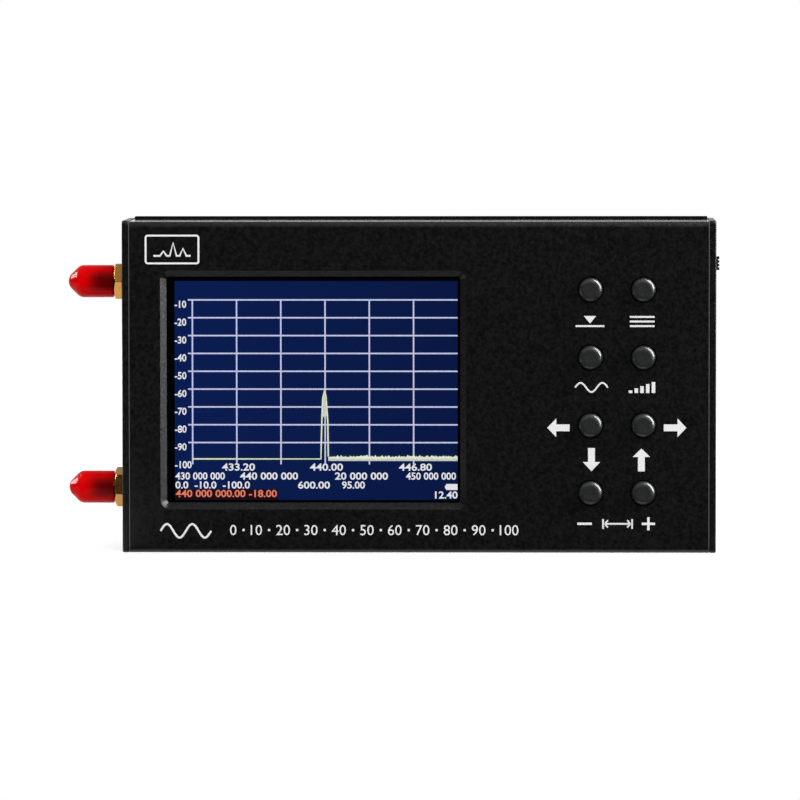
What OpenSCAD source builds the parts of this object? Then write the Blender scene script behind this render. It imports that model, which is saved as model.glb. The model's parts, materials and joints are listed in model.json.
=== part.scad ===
// Handheld spectrum analyzer in an extruded aluminium case with a display and eight push keys.
// It stands on its long lower side. X runs to the right as seen from the front, Y runs from the
// front face into the case and Z runs up. The origin is the middle of the underside, in millimetres.

/* [Case] */
// Width over both end plates
case_w = 135; // [128:1:160]
// Height of the end plates
case_h = 75.6; // [72:0.1:95]
// Depth from the front face to the back face
case_d = 25; // [24:0.5:35]
// Thickness of each end plate
plate_t = 1.5; // [1.4:0.1:2.5]
// Corner radius of the end plates
plate_r = 1; // [0.5:0.1:2]
// Thickness of the shell's front wall
front_t = 2; // [1.6:0.1:3]
// Thickness of the shell's upper and lower walls
wall_t = 1.8; // [1.6:0.1:2.4]
// Thickness of the back cover
back_t = 2; // [1.5:0.1:3]
// Radius of the shell's long front edges
edge_r = 1.5; // [0.5:0.1:1.6]
// How far the shell's top stands below that of the plates
shell_inset = 0.2; // [0:0.1:0.8]
// How far the back cover's top stands above that of the plates
cover_rise = 0.4; // [0:0.1:0.8]

/* [Sliding back cover] */
// How far the cover's rails reach forward
rail_reach = 3; // [2.5:0.1:4]
// Thickness of the rails
rail_t = 1.2; // [0.8:0.1:1.6]
// Width of the lip on each rail
lip_w = 1.2; // [0.8:0.1:1.8]
// Depth of the grooves that take the lips
groove_depth = 0.9; // [0.6:0.1:1]
// Clearance around the rails and lips
slide_gap = 0.1; // [0.05:0.01:0.2]

/* [Plate screws] */
// Radius of the screw's thread
screw_r = 1.2; // [1:0.05:1.5]
// Radius of the countersunk head
screw_head_r = 2.35; // [2:0.05:2.5]
// Length of the screw with its head
screw_l = 8; // [6:0.5:12]
// Wall of the screw channels inside the shell
boss_wall = 0.85; // [0.6:0.05:1.2]
// Distance from the walls to the middle of a screw channel
boss_in = 1.9; // [1.7:0.05:2]
// Space between a rear screw channel and the cover's rail
boss_clear = 0.4; // [0.2:0.1:1]
// Clearance around the screws
screw_gap = 0.05; // [0.02:0.01:0.1]
// Width of the cross recess in the head
recess_w = 0.6; // [0.4:0.05:0.8]
// Length of the cross recess in the head
recess_l = 2.4; // [1.6:0.1:3]
// Depth of the cross recess in the head
recess_depth = 0.8; // [0.4:0.1:1.2]

/* [Display window] */
// Width of the opening at the display
window_w = 66.8; // [60:0.1:72]
// Height of the opening at the display
window_h = 51.5; // [45:0.1:54]
// Distance from the case's left side to the opening
window_left = 10.1; // [9:0.1:14]
// Height of the window's middle above the middle of the case
window_rise = -0.7; // [-2:0.1:2]
// Width of the bevel around the opening
window_bevel = 1.4; // [0.8:0.1:1.8]
// Depth of the bevel
bevel_depth = 1.4; // [0.8:0.1:1.5]
// Corner radius of the opening
window_r = 0.6; // [0.3:0.1:2]

/* [Display] */
// Thickness of the foam gasket behind the window
gasket_t = 0.5; // [0.3:0.1:1]
// Width of the gasket's band
gasket_w = 0.8; // [0.5:0.1:0.8]
// How far the gasket stays back from the opening
gasket_back = 0.2; // [0:0.05:0.2]
// How far the glass reaches past the opening
glass_lap = 1; // [1:0.1:2]
// Length of the glass ledge that carries the flex tail
flex_ledge = 7.2; // [5:0.1:9]
// Thickness of the glass panel
glass_t = 1.4; // [1:0.1:1.8]
// Thickness of the backlight frame with the glass
display_t = 3.2; // [2.8:0.1:4]
// Wall of the backlight frame beside the glass
frame_wall = 0.7; // [0.5:0.1:1.2]
// Clearance of the glass in its frame
glass_gap = 0.05; // [0.02:0.01:0.1]
// How far the glass stands proud of its frame
glass_proud = 0.1; // [0.05:0.01:0.3]
// Thickness of the foam strips behind the display
pad_t = 0.6; // [0.4:0.1:1.2]
// Width of the foam strips behind the display
pad_w = 8; // [4:0.5:14]
// Distance from the display's ends to the foam strips
pad_in = 6; // [4:0.5:12]
// Thickness of the flex tail
flex_t = 0.3; // [0.2:0.05:0.4]
// Width of the flex tail
flex_w = 30; // [20:1:40]
// Free length of the flex tail outside the frame
flex_free = 3; // [2:0.1:5]
// How far the flex tail lies on the glass, and goes into its connector
flex_grip = 1.8; // [1:0.1:2.5]
// Length of the flex connector along the board
flex_socket_l = 4.5; // [3.5:0.1:6]

/* [Keys] */
// Diameter of a key cap
key_d = 5.45; // [5:0.05:6.5]
// Clearance of the cap in the front wall, on the radius
key_gap = 0.25; // [0.15:0.05:0.4]
// How far the caps stand out of the front face
key_proud = 1.3; // [0.8:0.1:2.5]
// Radius of the cap's front rim
key_rim_r = 0.6; // [0.2:0.1:1]
// Travel of a key
key_travel = 0.3; // [0.2:0.05:0.5]
// Space that is left under a pressed key
key_stop = 0.2; // [0.1:0.05:0.3]
// Distance from the case's right side to the outer column of keys
key_right = 16.5; // [14:0.1:22]
// Distance between the two columns
key_pitch_x = 12; // [9:0.1:14]
// Distance between the rows
key_pitch_z = 15.4; // [9:0.1:16]
// Height of the key field's middle above the middle of the case
key_rise = -1; // [-2:0.1:2]

/* [Key switches] */
// Width of a switch's square housing
switch_w = 6; // [5.5:0.1:6.5]
// Space between the switches and the front wall
switch_clear = 0.8; // [0.6:0.1:1.2]
// Thickness of the front plate that holds the plunger in its housing
switch_lid = 0.4; // [0.2:0.1:0.6]
// Radius of the plunger's round foot
foot_r = 2; // [1.8:0.05:2.5]
// Height of the plunger's round foot
foot_h = 0.7; // [0.5:0.1:1]
// Width of the plunger's square stem
stem_w = 2.2; // [1.8:0.1:2.4]
// How deep the stem goes into the cap
stem_grip = 1.6; // [1:0.1:2]
// Running clearance of the plunger in its housing, on the radius
plunger_gap = 0.05; // [0.02:0.01:0.1]
// Clearance of the stem in the cap
stem_gap = 0.02; // [0.01:0.01:0.05]

/* [Board] */
// Thickness of the main board
board_t = 1.6; // [1.2:0.1:2]
// Clearance between the board's edges and the case
board_gap = 0.3; // [0.2:0.05:0.6]
// Clearance of the board's faces in its guide slots
slot_gap = 0.1; // [0.05:0.01:0.2]
// Thickness of the ribs beside a guide slot
rib_t = 1; // [0.8:0.1:1.1]
// Height of those ribs above the wall
rib_h = 1.6; // [1.2:0.1:2.2]
// Gap between the board and each end plate
board_end_gap = 0.5; // [0.3:0.1:1]
// Clearance of soldered legs in the board's holes
leg_gap = 0.15; // [0.1:0.05:0.25]

/* [Aerial connectors] */
// Distance from the case's upper and lower sides to the connectors' axes
jack_in = 14.2; // [13.5:0.1:18]
// Height of a connector's axis above the board
jack_axis_h = 4.6; // [4.5:0.1:6]
// Radius of the thread
thread_r = 3.175; // [3:0.005:3.5]
// Length of the threaded barrel outside the end plate
barrel_l = 8; // [7:0.1:11]
// Radius of the socket around the insulator
socket_r = 2.05; // [1.8:0.05:2.2]
// Radius of the barrel's wider mouth
mouth_r = 2.3; // [2.2:0.05:2.6]
// Depth of the barrel's wider mouth
mouth_depth = 1.9; // [1:0.1:2.5]
// Radius of the centre contact
contact_r = 0.635; // [0.5:0.005:0.8]
// Radius of the hole in the centre contact
contact_hole_r = 0.47; // [0.3:0.01:0.47]
// Width of the connector's square base
block_w = 8; // [7:0.1:9]
// Length of the connector's square base
block_l = 7; // [6.6:0.1:7.2]
// Spacing of the base's soldered legs
leg_pitch = 5.08; // [4.5:0.01:5.4]
// Radius of the legs
leg_r = 0.5; // [0.35:0.05:0.55]
// How far the legs stand out of the board
leg_tail = 0.5; // [0.2:0.1:0.6]
// Clearance of pieces that sit tight in one another
seat_gap = 0.02; // [0.01:0.01:0.05]
// Clearance of the barrel in the end plate
plate_gap = 0.1; // [0.05:0.01:0.2]
// Thickness of the spring washer
washer_t = 0.5; // [0.4:0.1:0.8]
// Radius of the spring washer
washer_r = 4; // [3.8:0.05:4.4]
// Width of the cut in the spring washer
washer_cut = 0.5; // [0.3:0.1:0.8]
// Thickness of the nut
nut_t = 1.9; // [1.8:0.1:2.6]
// Width of the nut across its flats
nut_af = 8; // [7.8:0.1:9]
// Radius of the nut's round outer face, inside its chamfer
nut_face_r = 3.8; // [3.5:0.05:3.85]
// Turn of the upper nut from where a flat faces up
upper_nut_turn = 0; // [0:1:60]
// Turn of the lower nut from where a flat faces up
lower_nut_turn = 41; // [0:1:60]

/* [Dust caps] */
// Thickness of a cap's side wall
cap_wall = 0.5; // [0.3:0.025:0.8]
// Distance from the barrel's end to the start of the cap's shoulder
cap_room = 0.7; // [0.2:0.1:3]
// Radius of the shoulder between the side and the conical nose
cap_shoulder_r = 2.7; // [0.9:0.1:3]
// Radius of the round tip
cap_tip_r = 2; // [0.9:0.1:2.4]
// Angle between the nose and the cap's axis
cap_nose_angle = 50; // [36:1:60]
// Clearance of the cap on the thread, on the radius
cap_gap = 0.05; // [0.02:0.01:0.1]
// Space between the cap and the nut
cap_seat_gap = 0.2; // [0.1:0.05:0.4]

/* [Power switch] */
// Distance from the top of the case to the knob's middle when it is on
knob_top = 10; // [8.5:0.1:14]
// Height of the knob
knob_h = 3.1; // [2.5:0.1:4]
// Width of the knob
knob_w = 1.6; // [1.2:0.1:2]
// How far the knob stands out of the end plate
knob_proud = 0.9; // [0.6:0.1:1.5]
// Travel of the knob, downwards
knob_travel = 2.5; // [2:0.1:3]
// Clearance of the knob in the switch
knob_gap = 0.1; // [0.05:0.01:0.2]
// Clearance of the knob in the end plate
knob_slot_gap = 0.3; // [0.2:0.05:0.5]
// Pitch of the grip grooves on the knob
grip_pitch = 0.8; // [0.6:0.1:1]
// Width and depth of a grip groove
grip_w = 0.3; // [0.2:0.05:0.4]
// Length of the switch housing
slider_l = 9; // [8.5:0.1:11]
// Depth of the switch housing along its width
slider_w = 3.6; // [3:0.1:4.5]
// Depth of the switch housing behind the board's end
slider_d = 4; // [3.5:0.1:5]
// Thickness of the housing's outer wall, which holds the knob in
slider_wall = 0.5; // [0.3:0.1:0.8]
// Thickness of the knob's foot inside the housing
knob_foot_t = 1.2; // [0.8:0.1:1.6]
// How far the foot reaches past the knob, up and down
knob_foot_lip = 0.6; // [0.4:0.1:0.8]

/* [Charging socket] */
// Width of the socket's metal shell
usb_w = 8.94; // [7:0.01:9.5]
// Height of the socket's metal shell
usb_h = 3.26; // [2.6:0.01:3.6]
// Wall of the socket's metal shell
usb_wall = 0.3; // [0.2:0.05:0.35]
// Length of the socket's metal shell
usb_l = 7.3; // [6.5:0.1:9]
// How far the socket's mouth stays behind the outside of the end plate
usb_recess = 0.3; // [0:0.1:0.8]
// Clearance of the socket in the end plate
usb_gap = 0.25; // [0.15:0.05:0.4]
// Length of the plastic base at the back of the socket
usb_base_l = 2; // [1.5:0.1:2.5]
// Length of the contact tongue
tongue_l = 4.4; // [3.5:0.1:4.6]
// Width of the contact tongue
tongue_w = 6.7; // [5:0.05:6.8]
// Thickness of the contact tongue
tongue_t = 0.7; // [0.5:0.05:0.8]

/* [Battery] */
// Length of the battery pack
battery_l = 62; // [45:1:66]
// Height of the battery pack
battery_h = 48; // [36:1:52]
// Thickness of the battery pack
battery_t = 7; // [5:0.1:7.4]
// Radius of the pack's edges
battery_r = 3; // [1:0.1:3.2]
// Thickness of the foam pad behind the pack
battery_pad_t = 0.6; // [0.4:0.1:0.8]
// Distance between the foam pad's edge and the pack's edge
battery_pad_in = 8; // [4:0.5:12]
// Radius of a battery lead
lead_r = 0.6; // [0.4:0.05:0.7]
// Distance between the two leads
lead_pitch = 2; // [1.8:0.1:2.4]
// Bend radius of the leads
lead_bend = 2.4; // [1.6:0.1:2.8]
// Straight length of the leads before and after their bends
lead_run = 2; // [1:0.1:4]
// Length of the lead plug
plug_l = 7; // [5:0.1:9]
// Width of the lead plug
plug_w = 5.8; // [5:0.1:7]
// Height of the lead plug
plug_h = 3.4; // [2.6:0.1:3.6]
// Wall of the socket around the lead plug
plug_wall = 0.8; // [0.6:0.1:1]
// How far the plug stands out of its socket
plug_proud = 1.2; // [0.6:0.1:2]
// Clearance of the plug in its socket
plug_gap = 0.1; // [0.05:0.01:0.2]

/* [Radio section] */
// Length of a shielding can
can_l = 26; // [18:1:28]
// Height of a shielding can along the board
can_h = 16; // [12:1:18]
// Height of a shielding can above the board
can_t = 3.6; // [2.5:0.1:4]
// Wall of a shielding can
can_wall = 0.4; // [0.3:0.05:0.6]
// Gap between a connector's base and its can
can_gap = 2.5; // [1:0.1:4]
// Width of the processor
chip_w = 14; // [10:1:16]
// Thickness of the processor
chip_t = 1.4; // [1:0.1:2]
// Width of the two radio chips inside the cans
radio_chip_w = 6; // [4:0.5:8]
// Thickness of the radio chips
radio_chip_t = 0.9; // [0.7:0.1:1.2]

/* [Hidden] */
$fn = 64;
cut = 1;
arc_steps = 8;
front_y = -case_d / 2;
back_y = case_d / 2;
shell_l = case_w - 2 * plate_t;
shell_end = shell_l / 2;
mid_z = case_h / 2;
wall_z = shell_inset + wall_t;
cover_y = back_y - back_t;
cover_h = case_h + cover_rise;

// Layers from the front wall to the back of the board
inner_y = front_y + front_t;
glass_y = inner_y + gasket_t;
display_back_y = glass_y + display_t;
board_y = display_back_y + pad_t;
board_back_y = board_y + board_t;

// Window and display
window_x = -case_w / 2 + window_left + window_w / 2;
window_z = mid_z + window_rise;
glass_w = window_w + 2 * glass_lap + flex_ledge;
glass_h = window_h + 2 * glass_lap;
glass_x = window_x + flex_ledge / 2;
frame_w = glass_w + 2 * (frame_wall + glass_gap);
frame_h = glass_h + 2 * (frame_wall + glass_gap);
frame_right = glass_x + frame_w / 2;
flex_y = glass_y + glass_t;
flex_socket_x = frame_right + flex_free;

// Keys
key_x = [case_w / 2 - key_right - key_pitch_x, case_w / 2 - key_right];
function key_z(row) = mid_z + key_rise + (1.5 - row) * key_pitch_z;
switch_y = inner_y + switch_clear;
cap_back_y = switch_y - key_travel - key_stop;
key_front_y = front_y - key_proud;
foot_y = switch_y + switch_lid + plunger_gap + foot_h;

// Screw channels, as points across the case
boss_r = screw_r + screw_gap + boss_wall;
boss_z = wall_z + boss_in;
front_boss_y = inner_y + boss_in;
rear_boss_y = cover_y - rail_reach - slide_gap - boss_clear - boss_r;
screw_points = [for (y = [front_boss_y, rear_boss_y], z = [boss_z, case_h - boss_z]) [y, z]];

// Aerial connectors
jack_y = board_back_y + jack_axis_h;
upper_jack_z = case_h - jack_in;
lower_jack_z = jack_in;
block_back = -plate_t - block_l;
tail_z = block_back + leg_pitch / 4 + leg_r;
cap_z = washer_t + nut_t + cap_seat_gap;
cap_bore_r = thread_r + cap_gap;
nut_r = nut_af / sqrt(3);
cap_r = cap_bore_r + cap_wall;
cap_side_l = barrel_l + cap_room - cap_z;

// Radio section, power switch and charging socket
can_x = -shell_end + block_l + can_gap;
board_end = shell_end - board_end_gap;
knob_z = case_h - knob_top;
knob_y = board_back_y + slider_w / 2;
slot_mid_z = knob_z - knob_travel / 2;
knob_foot_x = board_end - slider_wall - knob_gap - knob_foot_t;
usb_x = case_w / 2 - usb_recess - usb_l;
usb_y = board_back_y + usb_h / 2;

// Battery
battery_y = cover_y - battery_pad_t - battery_t;
battery_x = key_x[0] - battery_l / 2 - 4 * lead_bend - lead_run;
battery_end = battery_x + battery_l / 2;
lead_y = battery_y + battery_t / 2;
plug_y = board_back_y + plug_wall + plug_gap + plug_h / 2;
bend_x = battery_end + lead_run;
plug_x = bend_x + 2 * lead_bend + lead_run;
plug_socket_x = plug_x + plug_proud;

// Extrudes an outline drawn across the case (Y, Z) along X
module along_x(x, length) {
    translate([x, 0, 0]) rotate([90, 0, 90]) linear_extrude(length) children();
}

// Extrudes an outline drawn on the front (X, Z) along Y
module along_y(y, length) {
    translate([0, y + length, 0]) rotate([90, 0, 0]) linear_extrude(length) children();
}

// What a rounded corner takes away at the origin, for an outline on the positive side of both axes
module corner_cut(r) {
    difference() {
        translate([-cut, -cut]) square(r + cut);
        translate([r, r]) circle(r);
    }
}

module rounded_rect(w, h, r) {
    difference() {
        square([w, h], center = true);
        for (sx = [0, 1], sz = [0, 1]) mirror([sx, 0]) mirror([0, sz])
            translate([-w / 2, -h / 2]) corner_cut(r);
    }
}

// Repeats an outline near the lower wall at the upper wall
module both_walls() {
    children();
    translate([0, case_h]) mirror([0, 1]) children();
}

// A box given by its corner and its size along X, Y and Z
module block(corner, size) {
    translate(corner) cube(size);
}

module shell_outline() {
    difference() {
        translate([front_y, 0]) square([cover_y - front_y, case_h - shell_inset]);
        translate([front_y, 0]) corner_cut(edge_r);
        translate([front_y, case_h - shell_inset]) mirror([0, 1]) corner_cut(edge_r);
    }
}

// A raised rail, and the slot for the board's edge that runs along it
module board_rail() {
    translate([board_y - slot_gap - rib_t, wall_z - wall_t / 2])
        square([board_t + 2 * (slot_gap + rib_t), wall_t / 2 + rib_h]);
}

module board_slot() {
    translate([board_y - slot_gap, wall_z + slot_gap])
        square([board_t + 2 * slot_gap, boss_in + boss_r + rib_h]);
}

// The hollow of the shell, with its screw channels and board rails left standing
module cavity_outline() {
    difference() {
        translate([inner_y, wall_z]) square([case_d, case_h - 2 * wall_z]);
        for (p = screw_points) translate(p) circle(boss_r);
        both_walls() board_rail();
    }
}

module shell_profile() {
    difference() {
        shell_outline();
        cavity_outline();
        both_walls() board_slot();
        for (p = screw_points) translate(p) circle(screw_r + screw_gap);
        both_walls() translate([cover_y - rail_reach - slide_gap, wall_z - groove_depth])
            square([lip_w + 2 * slide_gap, groove_depth + slide_gap]);
    }
}

module window_cut() {
    slope = window_bevel / bevel_depth;
    translate([window_x, 0, window_z]) {
        along_y(front_y - cut, front_t + 2 * cut) rounded_rect(window_w, window_h, window_r);
        hull() for (sx = [-1, 1], sz = [-1, 1])
            translate([sx * (window_w / 2 - window_r), front_y - cut, sz * (window_h / 2 - window_r)])
                rotate([-90, 0, 0])
                    cylinder(h = bevel_depth + cut, r1 = window_r + window_bevel + cut * slope,
                             r2 = window_r, $fn = 32);
    }
}

module front_shell() {
    color("#17181a") difference() {
        along_x(-shell_end, shell_l) shell_profile();
        window_cut();
        for (x = key_x, row = [0:3]) translate([x, front_y - cut, key_z(row)])
            rotate([-90, 0, 0]) cylinder(h = front_t + 2 * cut, r = key_d / 2 + key_gap);
    }
}

module cover_profile() {
    difference() {
        translate([cover_y, 0]) square([back_t, cover_h]);
        translate([back_y, 0]) mirror([1, 0]) corner_cut(plate_r);
        translate([back_y, cover_h]) rotate(180) corner_cut(plate_r);
    }
    both_walls() {
        translate([cover_y - rail_reach, wall_z + slide_gap]) square([rail_reach, rail_t]);
        translate([cover_y - rail_reach, wall_z - groove_depth + slide_gap])
            square([lip_w, groove_depth + rail_t]);
    }
}

module back_cover() {
    color("#17181a") along_x(-shell_end, shell_l) cover_profile();
}

module plate_blank() {
    translate([0, mid_z]) rounded_rect(case_d, case_h, plate_r);
}

// Places a screw's axis at each corner of an end plate, pointing inwards
module at_plate_screws(side) {
    for (p = screw_points)
        translate([side * case_w / 2, p[0], p[1]]) rotate([0, -side * 90, 0]) children();
}

module countersink() {
    r = screw_head_r + screw_gap;
    hole_r = screw_r + screw_gap;
    translate([0, 0, -cut]) cylinder(h = cut, r = r);
    cylinder(h = r - hole_r, r1 = r, r2 = hole_r);
    cylinder(h = plate_t + cut, r = hole_r);
}

module plate_screw() {
    difference() {
        union() {
            cylinder(h = screw_head_r - screw_r, r1 = screw_head_r, r2 = screw_r);
            cylinder(h = screw_l, r = screw_r);
        }
        for (turn = [0, 90]) rotate(turn)
            translate([-recess_l / 2, -recess_w / 2, -cut]) cube([recess_l, recess_w, cut + recess_depth]);
    }
}

module left_end_plate() {
    color("#17181a") difference() {
        along_x(-case_w / 2, plate_t) plate_blank();
        at_plate_screws(-1) countersink();
        for (z = [upper_jack_z, lower_jack_z]) on_jack(z)
            translate([0, 0, -plate_t - cut]) cylinder(h = plate_t + 2 * cut, r = thread_r + plate_gap);
    }
}

module right_end_plate() {
    color("#17181a") difference() {
        along_x(shell_end, plate_t) plate_blank();
        at_plate_screws(1) countersink();
        along_x(shell_end - cut, plate_t + 2 * cut) {
            translate([usb_y, mid_z]) usb_outline(usb_gap);
            translate([knob_y, slot_mid_z])
                square([knob_w + 2 * knob_slot_gap, knob_h + knob_travel + 2 * knob_slot_gap], center = true);
        }
    }
}

module left_plate_screws() {
    color("#3a3a3c") at_plate_screws(-1) plate_screw();
}

module right_plate_screws() {
    color("#3a3a3c") at_plate_screws(1) plate_screw();
}

module display_gasket() {
    band = 2 * gasket_w;
    opening = 2 * gasket_back;
    color("#0c0c0c") translate([window_x, 0, window_z]) along_y(inner_y, gasket_t) difference() {
        square([window_w + opening + band, window_h + opening + band], center = true);
        square([window_w + opening, window_h + opening], center = true);
    }
}

module display_glass() {
    color("#0b1e4b") translate([glass_x, 0, window_z])
        along_y(glass_y, glass_t) square([glass_w, glass_h], center = true);
}

module display_frame() {
    y = glass_y + glass_proud;
    slot_h = flex_w + 2 * frame_wall;
    color("#d8d8d4") difference() {
        translate([glass_x, 0, window_z])
            along_y(y, display_t - glass_proud) square([frame_w, frame_h], center = true);
        translate([glass_x, 0, window_z]) along_y(y - cut, glass_t - glass_proud + cut)
            square([glass_w + 2 * glass_gap, glass_h + 2 * glass_gap], center = true);
        block([frame_right - frame_wall - flex_grip - frame_wall, y - cut, window_z - slot_h / 2],
              [flex_grip + 2 * frame_wall + cut, flex_y - y + 2 * flex_t + cut, slot_h]);
    }
}

module display_pads() {
    color("#e8e6e0") for (x = [frame_right - frame_w + pad_in, frame_right - pad_in - pad_w])
        block([x, display_back_y, window_z - frame_h / 2], [pad_w, pad_t, frame_h]);
}

module display_flex() {
    start = glass_x + glass_w / 2 - flex_grip;
    color("#c8862c") block([start, flex_y, window_z - flex_w / 2],
                           [flex_socket_x + flex_grip - start, flex_t, flex_w]);
}

module display_socket() {
    h = flex_w + 4 * frame_wall;
    color("#e6e2d4") difference() {
        block([flex_socket_x, flex_y - frame_wall, window_z - h / 2],
              [flex_socket_l, board_y - flex_y + frame_wall, h]);
        block([flex_socket_x - cut, flex_y - seat_gap, window_z - flex_w / 2 - seat_gap],
              [flex_grip + cut + seat_gap, flex_t + 2 * seat_gap, flex_w + 2 * seat_gap]);
    }
}

module main_board() {
    z = wall_z + board_gap;
    color("#1d5c38") difference() {
        block([-board_end, board_y, z], [2 * board_end, board_t, case_h - 2 * z]);
        for (jack_z = [upper_jack_z, lower_jack_z]) on_jack(jack_z)
            jack_legs(leg_gap);
    }
}

module at_key(column, row, y) {
    translate([key_x[column], y, key_z(row)]) rotate([90, 0, 0]) children();
}

module key_switches() {
    chamber_h = plunger_gap + foot_h + key_travel + key_stop;
    stem_r = stem_w / sqrt(2);
    color("#26262a") for (column = [0, 1], row = [0:3]) at_key(column, row, switch_y) difference() {
        translate([0, 0, switch_y - board_y])
            linear_extrude(board_y - switch_y) square(switch_w, center = true);
        translate([0, 0, -switch_lid - chamber_h]) cylinder(h = chamber_h, r = foot_r + plunger_gap);
        translate([0, 0, -switch_lid - cut]) cylinder(h = switch_lid + 2 * cut, r = stem_r + plunger_gap);
    }
}

module key_cap(column, row) {
    r = key_d / 2;
    length = cap_back_y - key_front_y;
    socket_w = stem_w + 2 * stem_gap;
    color("#2b2c2e") at_key(column, row, cap_back_y) difference() {
        rotate_extrude() {
            square([r - key_rim_r, length]);
            square([r, length - key_rim_r]);
            translate([r - key_rim_r, length - key_rim_r]) intersection() {
                circle(key_rim_r);
                square(key_rim_r);
            }
        }
        translate([0, 0, -cut]) linear_extrude(stem_grip + cut) square(socket_w, center = true);
    }
}

module key_plunger(column, row) {
    stem_l = foot_y - cap_back_y + stem_grip;
    color("#3c3c40") at_key(column, row, foot_y) {
        cylinder(h = foot_h, r = foot_r);
        linear_extrude(stem_l) square(stem_w, center = true);
    }
}

// Puts a connector's axis on local Z, pointing out of the left end plate, with local X up
module on_jack(z) {
    translate([-case_w / 2, jack_y, z]) rotate([0, -90, 0]) children();
}

// The soldered legs and the contact's tail, with some room around them
module jack_legs(room) {
    length = jack_axis_h + board_t + leg_tail;
    mid = block_back + block_l / 2;
    for (x = [-1, 1], z = [-1, 1])
        translate([x * leg_pitch / 2, -jack_axis_h, mid + z * leg_pitch / 2]) rotate([90, 0, 0])
            cylinder(h = board_t + leg_tail, r = leg_r + room);
    if (room > 0) translate([0, 0, tail_z]) rotate([90, 0, 0]) cylinder(h = length, r = leg_r + room);
}

module jack() {
    color("#d2a650") difference() {
        union() {
            translate([0, 0, -plate_t]) cylinder(h = plate_t + barrel_l, r = thread_r);
            translate([-block_w / 2, -jack_axis_h, block_back])
                cube([block_w, jack_axis_h + block_w / 2, block_l]);
            jack_legs(0);
        }
        translate([0, 0, block_back + 2 * leg_r]) cylinder(h = block_l + plate_t + barrel_l, r = socket_r);
        translate([0, 0, barrel_l - mouth_depth]) cylinder(h = mouth_depth + cut, r = mouth_r);
        translate([0, 0, tail_z]) rotate([90, 0, 0])
            cylinder(h = jack_axis_h + cut, r = leg_r + 2 * leg_gap);
    }
}

module insulator() {
    back = -plate_t - socket_r;
    color("#f2f0ea") translate([0, 0, back]) difference() {
        cylinder(h = barrel_l - mouth_depth - back, r = socket_r - seat_gap);
        translate([0, 0, -cut])
            cylinder(h = barrel_l - back + 2 * cut, r = contact_r + seat_gap);
    }
}

module contact() {
    front = barrel_l - mouth_depth;
    depth = mouth_depth + contact_r;
    color("#d9b25c") difference() {
        union() {
            translate([0, 0, tail_z - leg_r]) cylinder(h = front - tail_z + leg_r, r = contact_r);
            translate([0, 0, tail_z]) rotate([90, 0, 0])
                cylinder(h = jack_axis_h + board_t + leg_tail, r = leg_r);
        }
        translate([0, 0, front - depth]) cylinder(h = depth + cut, r = contact_hole_r);
        translate([-contact_r - cut, -contact_r / 5, front - mouth_depth])
            cube([2 * (contact_r + cut), contact_r * 2 / 5, mouth_depth + cut]);
    }
}

module washer() {
    color("#c9a24e") difference() {
        cylinder(h = washer_t, r = washer_r);
        translate([0, 0, -cut]) cylinder(h = washer_t + 2 * cut, r = thread_r + plate_gap);
        translate([0, -washer_cut / 2, -cut]) cube([washer_r + cut, washer_cut, washer_t + 2 * cut]);
    }
}

module nut(turn) {
    cone_h = nut_t + cut;
    color("#c89a48") translate([0, 0, washer_t]) rotate(turn) difference() {
        intersection() {
            rotate(30) cylinder(h = nut_t, r = nut_r, $fn = 6);
            translate([0, 0, -cut])
                cylinder(h = cone_h, r1 = nut_face_r + cone_h / tan(30), r2 = nut_face_r);
        }
        translate([0, 0, -cut]) cylinder(h = nut_t + 2 * cut, r = thread_r + seat_gap);
    }
}

function arc(centre, r, from, to) = [
    for (n = [0:arc_steps]) let (a = from + (to - from) * n / arc_steps) centre + r * [cos(a), sin(a)]
];

// Half of a cap's outline, drawn a wall's thickness further in for the inside:
// a straight side, a round shoulder, a conical nose and a round tip
function cap_outline(base, wall) = let (
    lean = 90 - cap_nose_angle,
    shoulder = [cap_r - cap_shoulder_r, cap_side_l],
    reach = shoulder * [cos(lean), sin(lean)] + cap_shoulder_r - cap_tip_r,
    tip = [0, reach / sin(lean)]
) concat(
    [[0, base], [cap_r - wall, base]],
    arc(shoulder, cap_shoulder_r - wall, 0, lean),
    arc(tip, cap_tip_r - wall, lean, 90)
);

module dust_cap() {
    color("#d8000c") translate([0, 0, cap_z]) rotate_extrude() difference() {
        polygon(cap_outline(0, 0));
        polygon(cap_outline(-cut, cap_wall));
    }
}

module input_jack() { on_jack(upper_jack_z) jack(); }
module input_insulator() { on_jack(upper_jack_z) insulator(); }
module input_contact() { on_jack(upper_jack_z) contact(); }
module input_washer() { on_jack(upper_jack_z) washer(); }
module input_nut() { on_jack(upper_jack_z) nut(upper_nut_turn); }
module input_cap() { on_jack(upper_jack_z) dust_cap(); }
module output_jack() { on_jack(lower_jack_z) jack(); }
module output_insulator() { on_jack(lower_jack_z) insulator(); }
module output_contact() { on_jack(lower_jack_z) contact(); }
module output_washer() { on_jack(lower_jack_z) washer(); }
module output_nut() { on_jack(lower_jack_z) nut(lower_nut_turn); }
module output_cap() { on_jack(lower_jack_z) dust_cap(); }

module shield_can(z) {
    color("#b9bcc0") difference() {
        block([can_x, board_back_y, z - can_h / 2], [can_l, can_t, can_h]);
        block([can_x + can_wall, board_back_y - cut, z - can_h / 2 + can_wall],
              [can_l - 2 * can_wall, can_t - can_wall + cut, can_h - 2 * can_wall]);
    }
}

module input_shield_can() { shield_can(upper_jack_z); }
module output_shield_can() { shield_can(lower_jack_z); }

module board_chips() {
    color("#202124") {
        block([can_x + (can_l - chip_w) / 2, board_back_y, mid_z - chip_w / 2], [chip_w, chip_t, chip_w]);
        for (z = [upper_jack_z, lower_jack_z])
            block([can_x + (can_l - radio_chip_w) / 2, board_back_y, z - radio_chip_w / 2],
                  [radio_chip_w, radio_chip_t, radio_chip_w]);
    }
}

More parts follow.
